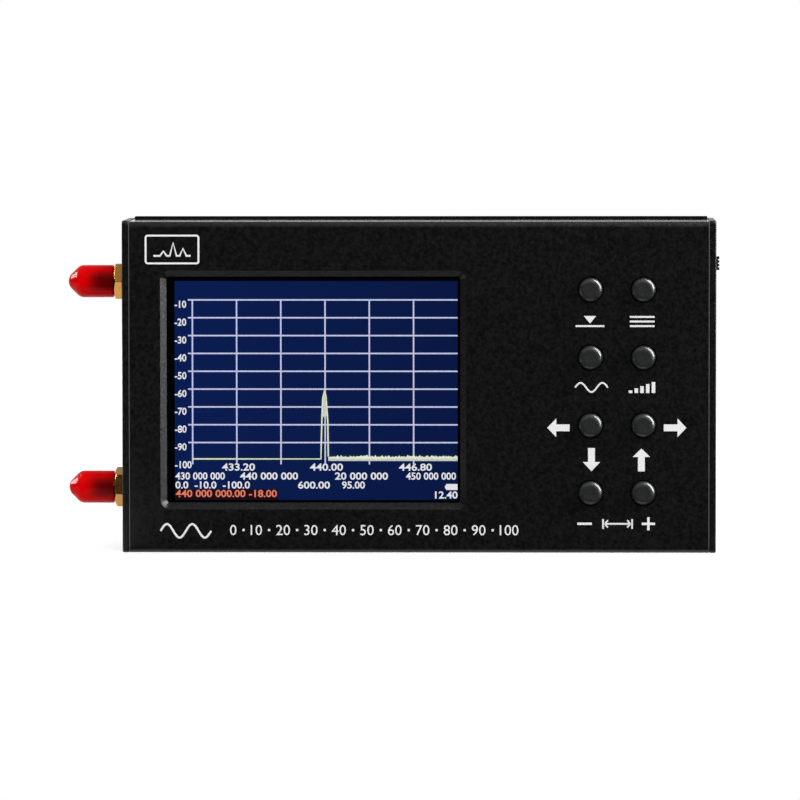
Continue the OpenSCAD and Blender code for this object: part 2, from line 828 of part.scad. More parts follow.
module power_switch_housing() {
    slot_h = knob_h + knob_travel + 2 * knob_gap;
    foot_room = slot_h + 2 * knob_foot_lip;
    w = knob_w + 2 * knob_gap;
    color("#9a9da2") difference() {
        block([board_end - slider_d, board_back_y, slot_mid_z - slider_l / 2],
              [slider_d, slider_w, slider_l]);
        block([knob_foot_x - knob_gap, knob_y - w / 2, slot_mid_z - foot_room / 2],
              [knob_foot_t + 2 * knob_gap, w, foot_room]);
        block([knob_foot_x, knob_y - w / 2, slot_mid_z - slot_h / 2], [slider_d, w, slot_h]);
    }
}

module power_switch_knob() {
    length = case_w / 2 + knob_proud - knob_foot_x;
    lip_h = knob_h + 2 * knob_foot_lip;
    color("#1b1b1d") translate([knob_foot_x, knob_y - knob_w / 2, knob_z]) difference() {
        union() {
            block([0, 0, -knob_h / 2], [length, knob_w, knob_h]);
            block([0, 0, -lip_h / 2], [knob_foot_t, knob_w, lip_h]);
        }
        for (n = [-1:1]) block([length - grip_w, -cut, n * grip_pitch - grip_w / 2],
                               [grip_w + cut, knob_w + 2 * cut, grip_w]);
    }
}

// The socket's outline across the case, grown by some room
module usb_outline(room) {
    rounded_rect(usb_h + 2 * room, usb_w + 2 * room, usb_h / 2 + room - usb_wall / 2);
}

module charging_socket_shell() {
    color("#c4c6ca") difference() {
        along_x(usb_x, usb_l) translate([usb_y, mid_z]) usb_outline(0);
        along_x(usb_x - cut, usb_l + 2 * cut) translate([usb_y, mid_z]) usb_outline(-usb_wall);
    }
}

module charging_socket_tongue() {
    color("#18181a") {
        along_x(usb_x, usb_base_l) translate([usb_y, mid_z]) usb_outline(-usb_wall - seat_gap);
        block([usb_x + usb_base_l / 2, usb_y - tongue_t / 2, mid_z - tongue_w / 2],
              [usb_base_l / 2 + tongue_l, tongue_t, tongue_w]);
    }
}

module battery_pack() {
    color("#8d949c") translate([battery_x, 0, mid_z]) along_y(battery_y, battery_t)
        rounded_rect(battery_l, battery_h, battery_r);
}

module battery_pad() {
    pad = 2 * battery_pad_in;
    color("#e8e6e0") translate([battery_x, 0, mid_z]) along_y(cover_y - battery_pad_t, battery_pad_t)
        square([battery_l - pad, battery_h - pad], center = true);
}

// One lead: out of the pack, round two bends and into the plug
module lead() {
    drop = lead_y - plug_y - 2 * lead_bend;
    translate([battery_end, lead_y, 0]) rotate([0, 90, 0]) cylinder(h = lead_run, r = lead_r);
    translate([bend_x, lead_y - lead_bend, 0])
        rotate_extrude(angle = 90) translate([lead_bend, 0]) circle(lead_r);
    translate([bend_x + lead_bend, lead_y - lead_bend, 0]) rotate([90, 0, 0])
        cylinder(h = drop, r = lead_r);
    translate([bend_x + 2 * lead_bend, plug_y + lead_bend, 0]) rotate(180)
        rotate_extrude(angle = 90) translate([lead_bend, 0]) circle(lead_r);
    translate([bend_x + 2 * lead_bend, plug_y, 0]) rotate([0, 90, 0])
        cylinder(h = lead_run, r = lead_r);
}

module battery_leads() {
    color("#b01c1c") for (side = [-1, 1]) translate([0, 0, mid_z + side * lead_pitch / 2]) lead();
}

module battery_plug() {
    color("#efece2") block([plug_x, plug_y - plug_h / 2, mid_z - plug_w / 2], [plug_l, plug_h, plug_w]);
}

module battery_plug_socket() {
    h = plug_h + 2 * (plug_gap + plug_wall);
    w = plug_w + 2 * (plug_gap + plug_wall);
    color("#efece2") difference() {
        block([plug_socket_x, board_back_y, mid_z - w / 2], [plug_l - plug_proud + plug_wall, h, w]);
        block([plug_socket_x - cut, board_back_y + plug_wall, mid_z - w / 2 + plug_wall],
              [plug_l - plug_proud + cut, h - 2 * plug_wall, w - 2 * plug_wall]);
    }
}

front_shell();
back_cover();
left_end_plate();
right_end_plate();
left_plate_screws();
right_plate_screws();
display_gasket();
display_glass();
display_frame();
display_pads();
display_flex();
display_socket();
main_board();
key_switches();
key_cap(0, 0);  // marker_key_cap
key_cap(1, 0);  // menu_key_cap
key_cap(0, 1);  // frequency_key_cap
key_cap(1, 1);  // amplitude_key_cap
key_cap(0, 2);  // left_key_cap
key_cap(1, 2);  // right_key_cap
key_cap(0, 3);  // minus_key_cap
key_cap(1, 3);  // plus_key_cap
key_plunger(0, 0);  // marker_key_plunger
key_plunger(1, 0);  // menu_key_plunger
key_plunger(0, 1);  // frequency_key_plunger
key_plunger(1, 1);  // amplitude_key_plunger
key_plunger(0, 2);  // left_key_plunger
key_plunger(1, 2);  // right_key_plunger
key_plunger(0, 3);  // minus_key_plunger
key_plunger(1, 3);  // plus_key_plunger
input_jack();
input_insulator();
input_contact();
input_washer();
input_nut();
input_cap();
output_jack();
output_insulator();
output_contact();
output_washer();
output_nut();
output_cap();
input_shield_can();
output_shield_can();
board_chips();
power_switch_housing();
power_switch_knob();
charging_socket_shell();
charging_socket_tongue();
battery_pack();
battery_pad();
battery_leads();
battery_plug();
battery_plug_socket();
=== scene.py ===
"""Finish of a handheld spectrum analyzer, modelled round its packed construction.

X runs to the right as seen from the front, Y from the front face into the case, and Z up.
Sizes in the settings are metres; the drawing helpers and the operators' own values are millimetres.
"""

import json
import math
import random

import bpy
from bpy.props import FloatProperty, FloatVectorProperty, IntProperty, PointerProperty
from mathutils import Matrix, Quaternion, Vector

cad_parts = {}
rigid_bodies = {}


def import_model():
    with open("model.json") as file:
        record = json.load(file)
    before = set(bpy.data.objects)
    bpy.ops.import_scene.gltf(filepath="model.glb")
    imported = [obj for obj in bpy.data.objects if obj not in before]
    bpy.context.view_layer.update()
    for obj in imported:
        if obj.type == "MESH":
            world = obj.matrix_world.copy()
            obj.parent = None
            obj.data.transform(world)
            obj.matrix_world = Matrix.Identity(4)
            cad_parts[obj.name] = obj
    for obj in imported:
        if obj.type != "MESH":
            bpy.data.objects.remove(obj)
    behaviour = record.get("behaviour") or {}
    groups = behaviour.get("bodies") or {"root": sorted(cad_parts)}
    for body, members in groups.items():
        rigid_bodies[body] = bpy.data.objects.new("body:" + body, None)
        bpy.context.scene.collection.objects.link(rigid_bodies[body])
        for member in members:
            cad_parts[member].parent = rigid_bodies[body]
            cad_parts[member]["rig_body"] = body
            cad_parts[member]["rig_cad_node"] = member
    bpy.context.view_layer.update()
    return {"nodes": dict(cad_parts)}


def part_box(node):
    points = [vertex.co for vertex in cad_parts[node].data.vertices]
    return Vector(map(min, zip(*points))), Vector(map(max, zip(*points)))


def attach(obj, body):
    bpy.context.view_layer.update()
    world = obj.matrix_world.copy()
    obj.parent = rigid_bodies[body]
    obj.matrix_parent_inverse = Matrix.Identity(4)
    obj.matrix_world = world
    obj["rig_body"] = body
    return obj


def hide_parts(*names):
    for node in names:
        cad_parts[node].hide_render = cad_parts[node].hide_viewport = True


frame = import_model()

bl_info = {
    "name": "Handheld Spectrum Analyzer",
    "version": (1, 0, 0),
    "blender": (4, 5, 0),
    "location": "View3D > Sidebar > Analyzer",
    "description": "Models the finish, the lit screen and the legends of a handheld spectrum analyzer",
    "category": "Add Mesh",
}

MM = 0.001
HAIR = 1e-6
# Points closer than this to a plane, in millimetres, lie in it
NEAR = 0.02

KEYS = ("marker", "menu", "frequency", "amplitude", "left", "right", "minus", "plus")
SIDES = ("input", "output")
FACE_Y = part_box("front_shell")[0].y / MM
GLASS_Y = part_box("display_glass")[0].y / MM
# Radius of a dust cap's round tip
CAP_TIP = 2.5

# The drawings on the front, in millimetres: their zero line, and then the picture on the screen
FOOT = 0.3
SCREEN = (-55.62, 11.6, 8.78, 61.5)
GRID_TOP, GRID_LOW, GRID_ROWS = 57.2, 20.62, 10
GRID_LEFT, GRID_PITCH, GRID_COLUMNS = -51.58, 10.07, 6
GRID_STEP = (GRID_TOP - GRID_LOW) / (GRID_ROWS - 1)


def linear(code):
    """Linear red, green and blue of an sRGB hex colour."""
    channels = [int(code[i:i + 2], 16) / 255 for i in (1, 3, 5)]
    return [c / 12.92 if c <= 0.04045 else ((c + 0.055) / 1.055) ** 2.4 for c in channels]


def length(name, description, millimetres):
    """A length setting, given in millimetres and kept in metres."""
    return FloatProperty(name=name, description=description, default=millimetres * MM,
                         min=0, subtype="DISTANCE", unit="LENGTH", precision=5)


def angle(name, description, degrees):
    """An angle setting, given in degrees and kept in radians."""
    return FloatProperty(name=name, description=description, default=math.radians(degrees),
                         subtype="ANGLE", unit="ROTATION")


def power(name, description, watts):
    """The setting of a lamp's power."""
    return FloatProperty(name=name, description=description, default=watts,
                         min=0, subtype="POWER", unit="POWER", precision=4)


def colour(name, description, code):
    """A colour setting, given as an sRGB hex colour and kept linear."""
    return FloatVectorProperty(name=name, description=description, default=linear(code),
                               size=3, min=0, max=1, subtype="COLOR")


class AnalyzerSizes(bpy.types.PropertyGroup):
    """Sizes that the finish adds to the construction."""
    plate_edge: length("Plate edge", "Rounding of the end plates' outer edges", 0.35)
    case_edge: length("Case edge", "Rounding of the shell's ends and the plates' inner edges", 0.2)
    hole_edge: length("Hole edge", "Rounding of the window, the key holes and the plates' holes", 0.12)
    metal_edge: length("Metal edge", "Rounding of the nuts, screws and other small metal edges", 0.08)
    key_rim: length("Key rim", "Radius of a key cap's front rim", 1.25)
    key_dish: length("Key dish", "Depth of the shallow dish in a key cap", 0.06)
    ink: length("Ink", "Thickness of the printed legends", 0.03)
    picture: length("Picture layer", "Thickness of one layer of the screen's picture", 0.015)
    grid_line: length("Grid line", "Width of a line of the screen's grid", 0.33)
    trace_line: length("Trace line", "Width of the measured trace", 0.36)
    thread_pitch: length("Thread pitch", "Distance from turn to turn on the connectors", 0.7056)
    thread_depth: length("Thread depth", "Height of the connectors' thread", 0.38)
    round_steps: IntProperty(name="Round steps", description="Flats round a turned piece", default=64, min=24)


class AnalyzerColours(bpy.types.PropertyGroup):
    """Colours that a user would change."""
    coat: colour("Coat", "Powder coat of the case", "#0e0e0f")
    ink: colour("Ink", "Printed legends", "#fcfcfb")
    key: colour("Key", "Key caps", "#242627")
    screen_left: colour("Screen, left", "Background of the picture at its left side", "#081c50")
    screen_right: colour("Screen, right", "Background of the picture at its right side", "#071640")
    grid: colour("Grid", "Lines of the screen's grid", "#c6caf6")
    figures: colour("Figures", "Numbers on the screen", "#eef1ff")
    trace: colour("Trace", "Measured trace", "#e2f2d2")
    alert: colour("Alert", "Line of red numbers", "#ec7c62")
    vinyl: colour("Vinyl", "Dust caps", "#f20005")
    gold: colour("Gold", "Plating of the connectors and nuts", "#c89350")


class AnalyzerStage(bpy.types.PropertyGroup):
    """Camera and light."""
    azimuth: angle("Azimuth", "How far the camera stands to the right of the front", 1.4)
    elevation: angle("Elevation", "How far the camera looks down", 3.2)
    roll: angle("Roll", "Turn of the camera about its line of sight", -0.0528)
    distance: length("Distance", "Distance from the camera to the point it looks at", 1430)
    lens: FloatProperty(name="Lens", description="Focal length in millimetres", default=280.805, min=1)
    side_light: power("Side light", "Power of the softbox whose glints show on the edges", 20)
    cap_light: power("Cap light", "Power of each small light whose glint shows on a cap", 0.009)
    front_light: power("Front light", "Power of the soft light in front", 12)
    low_light: power("Low light", "Power of the light below, which the window's upper slope mirrors", 0.085)
    room_light: FloatProperty(name="Room light", description="Even light of the room", default=0.45, min=0)


def only(*objects):
    """Goes to object mode with these objects alone selected, the first one active."""
    if bpy.context.object and bpy.context.object.mode != "OBJECT":
        bpy.ops.object.mode_set(mode="OBJECT")
    bpy.ops.object.select_all(action="DESELECT")
    for piece in objects:
        piece.select_set(True)
    if objects:
        bpy.context.view_layer.objects.active = objects[0]


def opened(piece):
    """Goes to edit mode with all of one piece selected."""
    only(piece)
    bpy.ops.object.mode_set(mode="EDIT")
    bpy.ops.mesh.select_all(action="SELECT")


def joined(pieces):
    """One object made of several."""
    only(*pieces)
    if len(pieces) > 1:
        bpy.ops.object.join()
    return bpy.context.object


def closed_up(piece):
    """Merges doubled points and turns every face outwards."""
    opened(piece)
    bpy.ops.mesh.remove_doubles(threshold=HAIR)
    bpy.ops.mesh.normals_make_consistent(inside=False)
    bpy.ops.object.mode_set(mode="OBJECT")


def applied(piece, kind, **settings):
    """Adds a modifier with these settings and applies it."""
    only(piece)
    bpy.ops.object.modifier_add(type=kind)
    modifier = piece.modifiers[-1]
    for name, value in settings.items():
        setattr(modifier, name, value)
    bpy.ops.object.modifier_apply(modifier=modifier.name)


def smoothed(piece, degrees=35):
    """Shades a piece smooth, apart from edges that turn by more than this."""
    only(piece)
    bpy.ops.object.shade_smooth_by_angle(angle=math.radians(degrees))


def settled(piece):
    """Applies a piece's place, turn and scale to its mesh."""
    only(piece)
    bpy.ops.object.transform_apply(location=True, rotation=True, scale=True)
    return piece


def moved(piece, x=0, y=0, z=0):
    """Moves a piece by millimetres."""
    only(piece)
    bpy.ops.transform.translate(value=(x * MM, y * MM, z * MM))
    settled(piece)


def copied(piece):
    """A copy with a mesh of its own."""
    only(piece)
    bpy.ops.object.duplicate()
    return bpy.context.object


def cut(piece, tool):
    """Takes a tool's shape away from a piece, and then the tool."""
    applied(piece, "BOOLEAN", operation="DIFFERENCE", object=tool, solver="EXACT")
    bpy.data.objects.remove(tool)


def measured(node):
    """A node's lowest corner, its highest corner and its middle, in millimetres."""
    low, high = (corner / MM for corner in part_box(node))
    return low, high, (low + high) / 2


def finished(piece, material):
    """Gives a piece or a node one finish all over."""
    piece.data.materials.clear()
    piece.data.materials.append(material)


def hand_over(piece, name, material, body="case", stands_for=()):
    """Names a piece, gives it its finish and lets it move with its body."""
    piece.name = name
    piece.data.name = name
    finished(piece, material)
    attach(piece, body)
    if stands_for:
        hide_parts(*stands_for)


def flat_face(corners):
    """A flat face with these corners, given counter-clockwise in millimetres on the drawing plane."""
    only()
    bpy.ops.mesh.primitive_circle_add(vertices=len(corners), fill_type="NGON")
    face = bpy.context.object
    for vertex, (x, y) in zip(face.data.vertices, corners):
        vertex.co = (x * MM, y * MM, 0)
    return face


def bar(left, low, right, high):
    """A flat rectangle."""
    return flat_face([(left, low), (right, low), (right, high), (left, high)])


def arrow(tip, direction, head, half_head, shaft, half_shaft):
    """A block arrow that points along a direction: the lengths of its head and shaft and half their widths."""
    ahead = Vector(direction)
    aside = Vector((-ahead.y, ahead.x))
    steps = [(0, 0), (-head, half_head), (-head, half_shaft), (-head - shaft, half_shaft),
             (-head - shaft, -half_shaft), (-head, -half_shaft), (-head, -half_head)]
    return flat_face([Vector(tip) + along * ahead + across * aside for along, across in steps])


def rounded_frame(left, low, right, high, line, radius):
    """A frame of an even line with rounded corners."""
    face = bar(left, low, right, high)
    opened(face)
    bpy.ops.mesh.bevel(offset=radius * MM, segments=6, affect="VERTICES")
    bpy.ops.mesh.select_all(action="SELECT")
    bpy.ops.mesh.inset(thickness=line * MM)
    bpy.ops.mesh.delete(type="FACE")
    bpy.ops.object.mode_set(mode="OBJECT")
    return face


def stroke(points, width, thickness):
    """A drawn line of an even width through points in millimetres, flattened to a thickness."""
    only()
    bpy.ops.curve.primitive_bezier_curve_add()
    line = bpy.context.object
    line.data.splines.remove(line.data.splines[0])
    spline = line.data.splines.new("POLY")
    spline.points.add(len(points) - 1)
    for point, (x, y) in zip(spline.points, points):
        point.co = (x * MM, y * MM, 0, 1)
    line.data.bevel_depth = width * MM / 2
    line.data.bevel_resolution = 1
    line.data.use_fill_caps = True
    bpy.ops.object.convert(target="MESH")
    line = bpy.context.object
    line.scale.z = 2 * thickness / width
    return settled(line)


def wave(left, right, middle, rise, waves, steps):
    """Points along a sine wave."""
    return [(left + (right - left) * n / steps, middle + rise * math.sin(waves * math.tau * n / steps))
            for n in range(steps + 1)]


def arc(centre, radius, first, last, steps=8):
    """Points along an arc, its angles in degrees."""
    angles = [math.radians(first + (last - first) * n / steps) for n in range(steps + 1)]
    return [(centre[0] + radius * math.cos(a), centre[1] + radius * math.sin(a)) for a in angles]


def figures(body, left, middle, height, width=0, bold=0):
    """Plain numbers, placed by their left side and the middle of their height, and fitted to a width."""
    only()
    bpy.ops.object.text_add()
    text = bpy.context.object
    text.data.body = body
    text.data.resolution_u = 3
    text.data.offset = bold
    bpy.ops.object.convert(target="MESH")
    text = bpy.context.object
    low = [min(v.co[axis] for v in text.data.vertices) for axis in (0, 1)]
    high = [max(v.co[axis] for v in text.data.vertices) for axis in (0, 1)]
    tall = height * MM / (high[1] - low[1])
    wide = width * MM / (high[0] - low[0]) if width else tall
    text.scale = (wide, tall, 1)
    text.location = (left * MM - low[0] * wide, middle * MM - (low[1] + high[1]) / 2 * tall, 0)
    return settled(text)


def printed(faces, thickness):
    """Gives flat faces, joined into one piece, a thickness above the drawing plane."""
    sheet = joined(faces)
    applied(sheet, "SOLIDIFY", thickness=thickness, offset=1)
    closed_up(sheet)
    return sheet


def stood_up(piece, y, foot=0):
    """Turns a drawing to face the front, on the plane at y millimetres and with its zero line at a height."""
    piece.rotation_euler.x = math.radians(90)
    piece.location = (0, y * MM, foot * MM)
    return settled(piece)


def outlined(points, axis):
    """A closed line through points in millimetres: how far along an axis each one lies, and how far out."""
    only()
    bpy.ops.mesh.primitive_circle_add(vertices=len(points), fill_type="NOTHING")
    line = bpy.context.object
    for vertex, (along, out) in zip(line.data.vertices, points):
        vertex.co = (along * MM, 0, out * MM) if axis == "X" else (0, along * MM, out * MM)
    return line


def turned(points, axis, steps):
    """A piece turned round an axis from a closed outline."""
    piece = outlined(points, axis)
    applied(piece, "SCREW", axis=axis, angle=math.tau, steps=steps, render_steps=steps,
            use_merge_vertices=True, merge_threshold=HAIR)
    closed_up(piece)
    return piece


def softened(node, *rounds):
    """A copy of a node's shape, rounded off: each round is a width, its steps and a test that picks edges."""
    # Faces that turn by less than this are one flat
    flat = math.radians(0.5)
    piece = copied(frame["nodes"][node])
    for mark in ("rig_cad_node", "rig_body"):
        del piece[mark]
    bpy.context.tool_settings.mesh_select_mode = (False, True, False)
    opened(piece)
    bpy.ops.mesh.customdata_custom_splitnormals_clear()
    bpy.ops.mesh.remove_doubles(threshold=HAIR)
    bpy.ops.mesh.dissolve_limited(angle_limit=flat)
    for width, steps, picks in rounds:
        bpy.ops.mesh.select_all(action="DESELECT")
        bpy.ops.object.mode_set(mode="OBJECT")
        points = piece.data.vertices
        for edge in piece.data.edges:
            edge.select = picks(*[points[i].co / MM for i in edge.vertices])
        bpy.ops.object.mode_set(mode="EDIT")
        bpy.ops.mesh.bevel(offset=width, segments=steps, affect="EDGES", clamp_overlap=False, loop_slide=False)
    bpy.ops.object.mode_set(mode="OBJECT")
    smoothed(piece)
    applied(piece, "WEIGHTED_NORMAL", weight=100, keep_sharp=True)
    return piece


def add_node(tree, kind, options=None, values=None, links=None):
    """Adds a node with its options, its inputs' values and the sockets that feed its inputs."""
    node = tree.nodes.new(kind)
    for name, value in (options or {}).items():
        setattr(node, name, value)
    for name, value in (values or {}).items():
        node.inputs[name].default_value = value
    for name, socket in (links or {}).items():
        tree.links.new(socket, node.inputs[name])
    return node


def shader_of(material):
    """A material's node tree and the shader in it."""
    return material.node_tree, material.node_tree.nodes["Principled BSDF"]


def grained(name, dark, light, grain, depth, rough, **shader):
    """A finish whose colour, gloss and relief follow one grain: its width and depth in millimetres."""
    known = bpy.data.materials.get(name)
    if known:
        return known
    material = bpy.data.materials.new(name)
    material.use_nodes = True
    tree, surface = shader_of(material)
    for socket, value in shader.items():
        surface.inputs[socket.replace("_", " ")].default_value = value
    # The noise seldom leaves this band
    least, most = 0.3, 0.7
    place = add_node(tree, "ShaderNodeTexCoord")
    noise = add_node(tree, "ShaderNodeTexNoise", values={"Scale": 1 / (grain * MM), "Detail": 3.0},
                     links={"Vector": place.outputs["Object"]})
    tone = add_node(tree, "ShaderNodeValToRGB", links={"Fac": noise.outputs["Fac"]})
    for stop, position, shade in zip(tone.color_ramp.elements, (least, most), (dark, light)):
        stop.position = position
        stop.color = (*shade, 1)
    gloss = add_node(tree, "ShaderNodeMapRange", links={"Value": noise.outputs["Fac"]},
                     values={"From Min": least, "From Max": most, "To Min": rough[0], "To Max": rough[1]})
    relief = add_node(tree, "ShaderNodeBump", links={"Height": noise.outputs["Fac"]},
                      values={"Strength": 1.0, "Distance": depth * MM})
    tree.links.new(tone.outputs["Color"], surface.inputs["Base Color"])
    tree.links.new(gloss.outputs["Result"], surface.inputs["Roughness"])
    tree.links.new(relief.outputs["Normal"], surface.inputs["Normal"])
    return material


# The finishes whose colours aren't settings: a dark and a light shade, the width and depth of the grain,
# the least and most roughness, and what else the shader needs
FINISHES = {
    # Black-oxide screw steel: dark, with a slight oily sheen
    "black_oxide_steel": ("#1c1c1e", "#323235", 0.3, 0.004, (0.3, 0.45), {"Metallic": 1.0}),
    # Moulded acetal of the power knob: black, with a waxy gloss
    "moulded_acetal": ("#151517", "#1f1f22", 0.4, 0.004, (0.35, 0.5), {}),
    # Turned PTFE: milky white and waxy
    "turned_ptfe": ("#dedcd4", "#efeee8", 0.3, 0.004, (0.4, 0.55), {"Subsurface_Weight": 0.2}),
    # Tin-plated steel sheet: pale grey with a soft rolled sheen
    "tin_plated_steel": ("#a9abae", "#c6c8ca", 0.6, 0.003, (0.25, 0.4), {"Metallic": 1.0}),
    # Moulded epoxy of chips and contact carriers: dead black with a fine filler grain
    "moulded_epoxy": ("#17171a", "#242428", 0.2, 0.006, (0.5, 0.65), {}),
    # Moulded nylon of connectors and the backlight frame: off-white, slightly clear
    "moulded_nylon": ("#d9d6ca", "#eae8df", 0.5, 0.006, (0.4, 0.55), {}),
    # Moulded heat-proof nylon of the key switches: black and dull
    "heat_proof_nylon": ("#1b1b1e", "#2a2a2e", 0.3, 0.006, (0.5, 0.62), {}),
    # Closed-cell foam: soft and dull, pitted by its cells
    "closed_cell_foam": ("#0a0a0b", "#1c1c1e", 0.25, 0.06, (0.8, 0.95), {"Specular_IOR_Level": 0.2}),
    # Polyimide film: clear amber over copper lines
    "polyimide_film": ("#a8651b", "#c98a34", 0.8, 0.004, (0.2, 0.35), {}),
    # Solder resist over a glass-fibre board: glossy green with the weave faintly under it
    "solder_resist": ("#14492c", "#1f6a40", 0.6, 0.006, (0.25, 0.4), {}),
    # Laminated aluminium pouch: a silver skin under clear film, faintly creased
    "laminated_foil": ("#8b9097", "#b4b9bf", 2.5, 0.05, (0.2, 0.4), {"Metallic": 0.9}),
    # Silicone insulation: soft red, dull
    "silicone_insulation": ("#8e1414", "#b32020", 0.4, 0.005, (0.5, 0.65), {}),
    # The display's polariser with its black border: dark, smooth and hardly reflecting
    "satin_polariser": ("#020204", "#050509", 0.4, 0.001, (0.2, 0.3), {"Specular_IOR_Level": 0.06}),
    # White studio card: dull, with a faint paper grain
    "white_studio_card": ("#e9e9e9", "#efefef", 2.0, 0.01, (0.85, 0.95), {"Specular_IOR_Level": 0.1}),
}


def plain(name):
    """One of the finishes in the table."""
    dark, light, grain, depth, rough, shader = FINISHES[name]
    return grained(name, linear(dark), linear(light), grain, depth, rough, **shader)


def shades(middle, spread):
    """A darker and a lighter shade round a linear colour."""
    return [c * (1 - spread) for c in middle], [min(1, c * (1 + spread)) for c in middle]


def powder_coat():
    """Powder-coated aluminium: the melted grains leave a dull pebble, drawn coarser than life so that it shows."""
    colours = bpy.context.scene.analyzer_colours
    return grained("powder_coated_aluminium", *shades(colours.coat, 0.6), grain=0.8, depth=0.08,
                   rough=(0.3, 0.44), Specular_IOR_Level=0.35)


def coat_with_painted_seam_highlight():
    """The shell's powder coat: a painted highlight as a fine light grey line at its cut ends, where the seam edges
    catch light, and a smoother level top.
    """
    painted_highlight_grey, top_gloss = linear("#6d6d6a"), 0.08
    highlight_reach, highlight_full, top_skin = 0.24 * MM, 0.12 * MM, 0.03 * MM
    material = powder_coat().copy()
    material.name = "powder_coat_painted_highlight"
    tree, surface = shader_of(material)
    coat = surface.inputs["Base Color"].links[0].from_socket
    gloss = surface.inputs["Roughness"].links[0].from_socket
    relief = surface.inputs["Normal"].links[0].from_node
    end, _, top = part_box("front_shell")[1]
    place = add_node(tree, "ShaderNodeTexCoord")
    way = add_node(tree, "ShaderNodeSeparateXYZ", links={"Vector": place.outputs["Object"]})
    off = add_node(tree, "ShaderNodeMath", {"operation": "ABSOLUTE"}, links={0: way.outputs["X"]})
    # Painted highlight: within a quarter millimetre of the shell's ends the colour turns light grey, standing for
    # the light the seam edges catch
    highlight_mask = add_node(tree, "ShaderNodeMapRange", links={"Value": off.outputs[0]},
                    values={"From Min": end - highlight_reach, "From Max": end - highlight_full})
    tone = add_node(tree, "ShaderNodeMix", {"data_type": "RGBA"}, {7: (*painted_highlight_grey, 1)},
                    {0: highlight_mask.outputs["Result"], 6: coat})
    tree.links.new(tone.outputs[2], surface.inputs["Base Color"])
    below = add_node(tree, "ShaderNodeMath", {"operation": "LESS_THAN"}, {1: top - top_skin},
                     {0: way.outputs["Z"]})
    rough = add_node(tree, "ShaderNodeMix", values={2: top_gloss}, links={0: below.outputs[0], 3: gloss})
    tree.links.new(rough.outputs[0], surface.inputs["Roughness"])
    tree.links.new(below.outputs[0], relief.inputs["Strength"])
    return material


def printed_ink():
    """Screen-printed enamel ink: an even white film, slightly rough from the mesh it was pressed through."""
    colours = bpy.context.scene.analyzer_colours
    return grained("screen_printed_ink", *shades(colours.ink, 0.05), grain=0.3, depth=0.003, rough=(0.5, 0.65))


def key_plastic():
    """Moulded ABS with a spark-eroded mould's fine matt grain, polished a little by fingers."""
    colours = bpy.context.scene.analyzer_colours
    return grained("moulded_abs", *shades(colours.key, 0.2), grain=0.4, depth=0.001, rough=(0.32, 0.37),
                   Specular_IOR_Level=0.9)


def gold_plate():
    """Gold-plated brass: a bright warm mirror, slightly dulled by the turning marks under the plating."""
    colours = bpy.context.scene.analyzer_colours
    return grained("electroplated_gold", *shades(colours.gold, 0.08), grain=0.5, depth=0.003, rough=(0.16, 0.3),
                   Metallic=1.0)


def dipped_vinyl():
    """Dip-moulded vinyl: a soft, glossy, half-clear red skin, bright at its nose, with painted shade where it lies
    over the barrel.
    """
    painted_barrel_shade = linear("#740203")
    painted_shade_fade, core_edge, core_full = 2.6 * MM, 3.5 * MM, 0.9 * MM
    colours = bpy.context.scene.analyzer_colours
    material = grained("dip_moulded_vinyl", *shades(colours.vinyl, 0.08), grain=3.0, depth=0.004,
                       rough=(0.12, 0.2), Subsurface_Weight=0.5, Subsurface_Radius=(1.2, 0.12, 0.1),
                       Subsurface_Scale=MM, Specular_IOR_Level=0.06)
    tree, surface = shader_of(material)
    skin = surface.inputs["Base Color"].links[0].from_socket
    barrel_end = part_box("input_jack")[0].x
    upper, lower = (sum(corner.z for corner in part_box(side + "_cap")) / 2 for side in SIDES)
    place = add_node(tree, "ShaderNodeTexCoord")
    way = add_node(tree, "ShaderNodeSeparateXYZ", links={"Vector": place.outputs["Object"]})
    # Painted shade: near the caps' axes and over the metal barrel, the red darkens to deep red, standing for the
    # light the barrel keeps from shining through the skin
    covered = add_node(tree, "ShaderNodeMapRange", {"interpolation_type": "SMOOTHSTEP"},
                       {"From Min": barrel_end - painted_shade_fade, "From Max": barrel_end + painted_shade_fade},
                       {"Value": way.outputs["X"]})
    # The height off the nearer cap's axis: first folded halfway between the two, then about the axis
    off = way.outputs["Z"]
    for middle in ((upper + lower) / 2, (upper - lower) / 2):
        off = add_node(tree, "ShaderNodeMath", {"operation": "SUBTRACT"}, {1: middle}, {0: off}).outputs[0]
        off = add_node(tree, "ShaderNodeMath", {"operation": "ABSOLUTE"}, links={0: off}).outputs[0]
    core = add_node(tree, "ShaderNodeMapRange", {"interpolation_type": "SMOOTHSTEP"},
                    {"From Min": core_edge, "From Max": core_full}, {"Value": off})
    dark = add_node(tree, "ShaderNodeMath", {"operation": "MULTIPLY"},
                    links={0: covered.outputs["Result"], 1: core.outputs["Result"]})
    tone = add_node(tree, "ShaderNodeMix", {"data_type": "RGBA"}, {7: (*painted_barrel_shade, 1)},
                    {0: dark.outputs[0], 6: skin})
    tree.links.new(tone.outputs[2], surface.inputs["Base Color"])
    return material


def lit_pixels(name, shade):
    """Lit pixels of the display: light of one colour, a little uneven from pixel to pixel (0.2 mm)."""
    unlit = linear("#030304")
    material = grained(name, *shades(shade, 0.3), grain=0.2, depth=0.0005, rough=(0.3, 0.4),
                       Specular_IOR_Level=0.02, Emission_Strength=0.95)
    tree, surface = shader_of(material)
    source = surface.inputs["Base Color"].links[0]
    tree.links.new(source.from_socket, surface.inputs["Emission Color"])
    tree.links.remove(source)
    surface.inputs["Base Color"].default_value = (*unlit, 1)
    return material


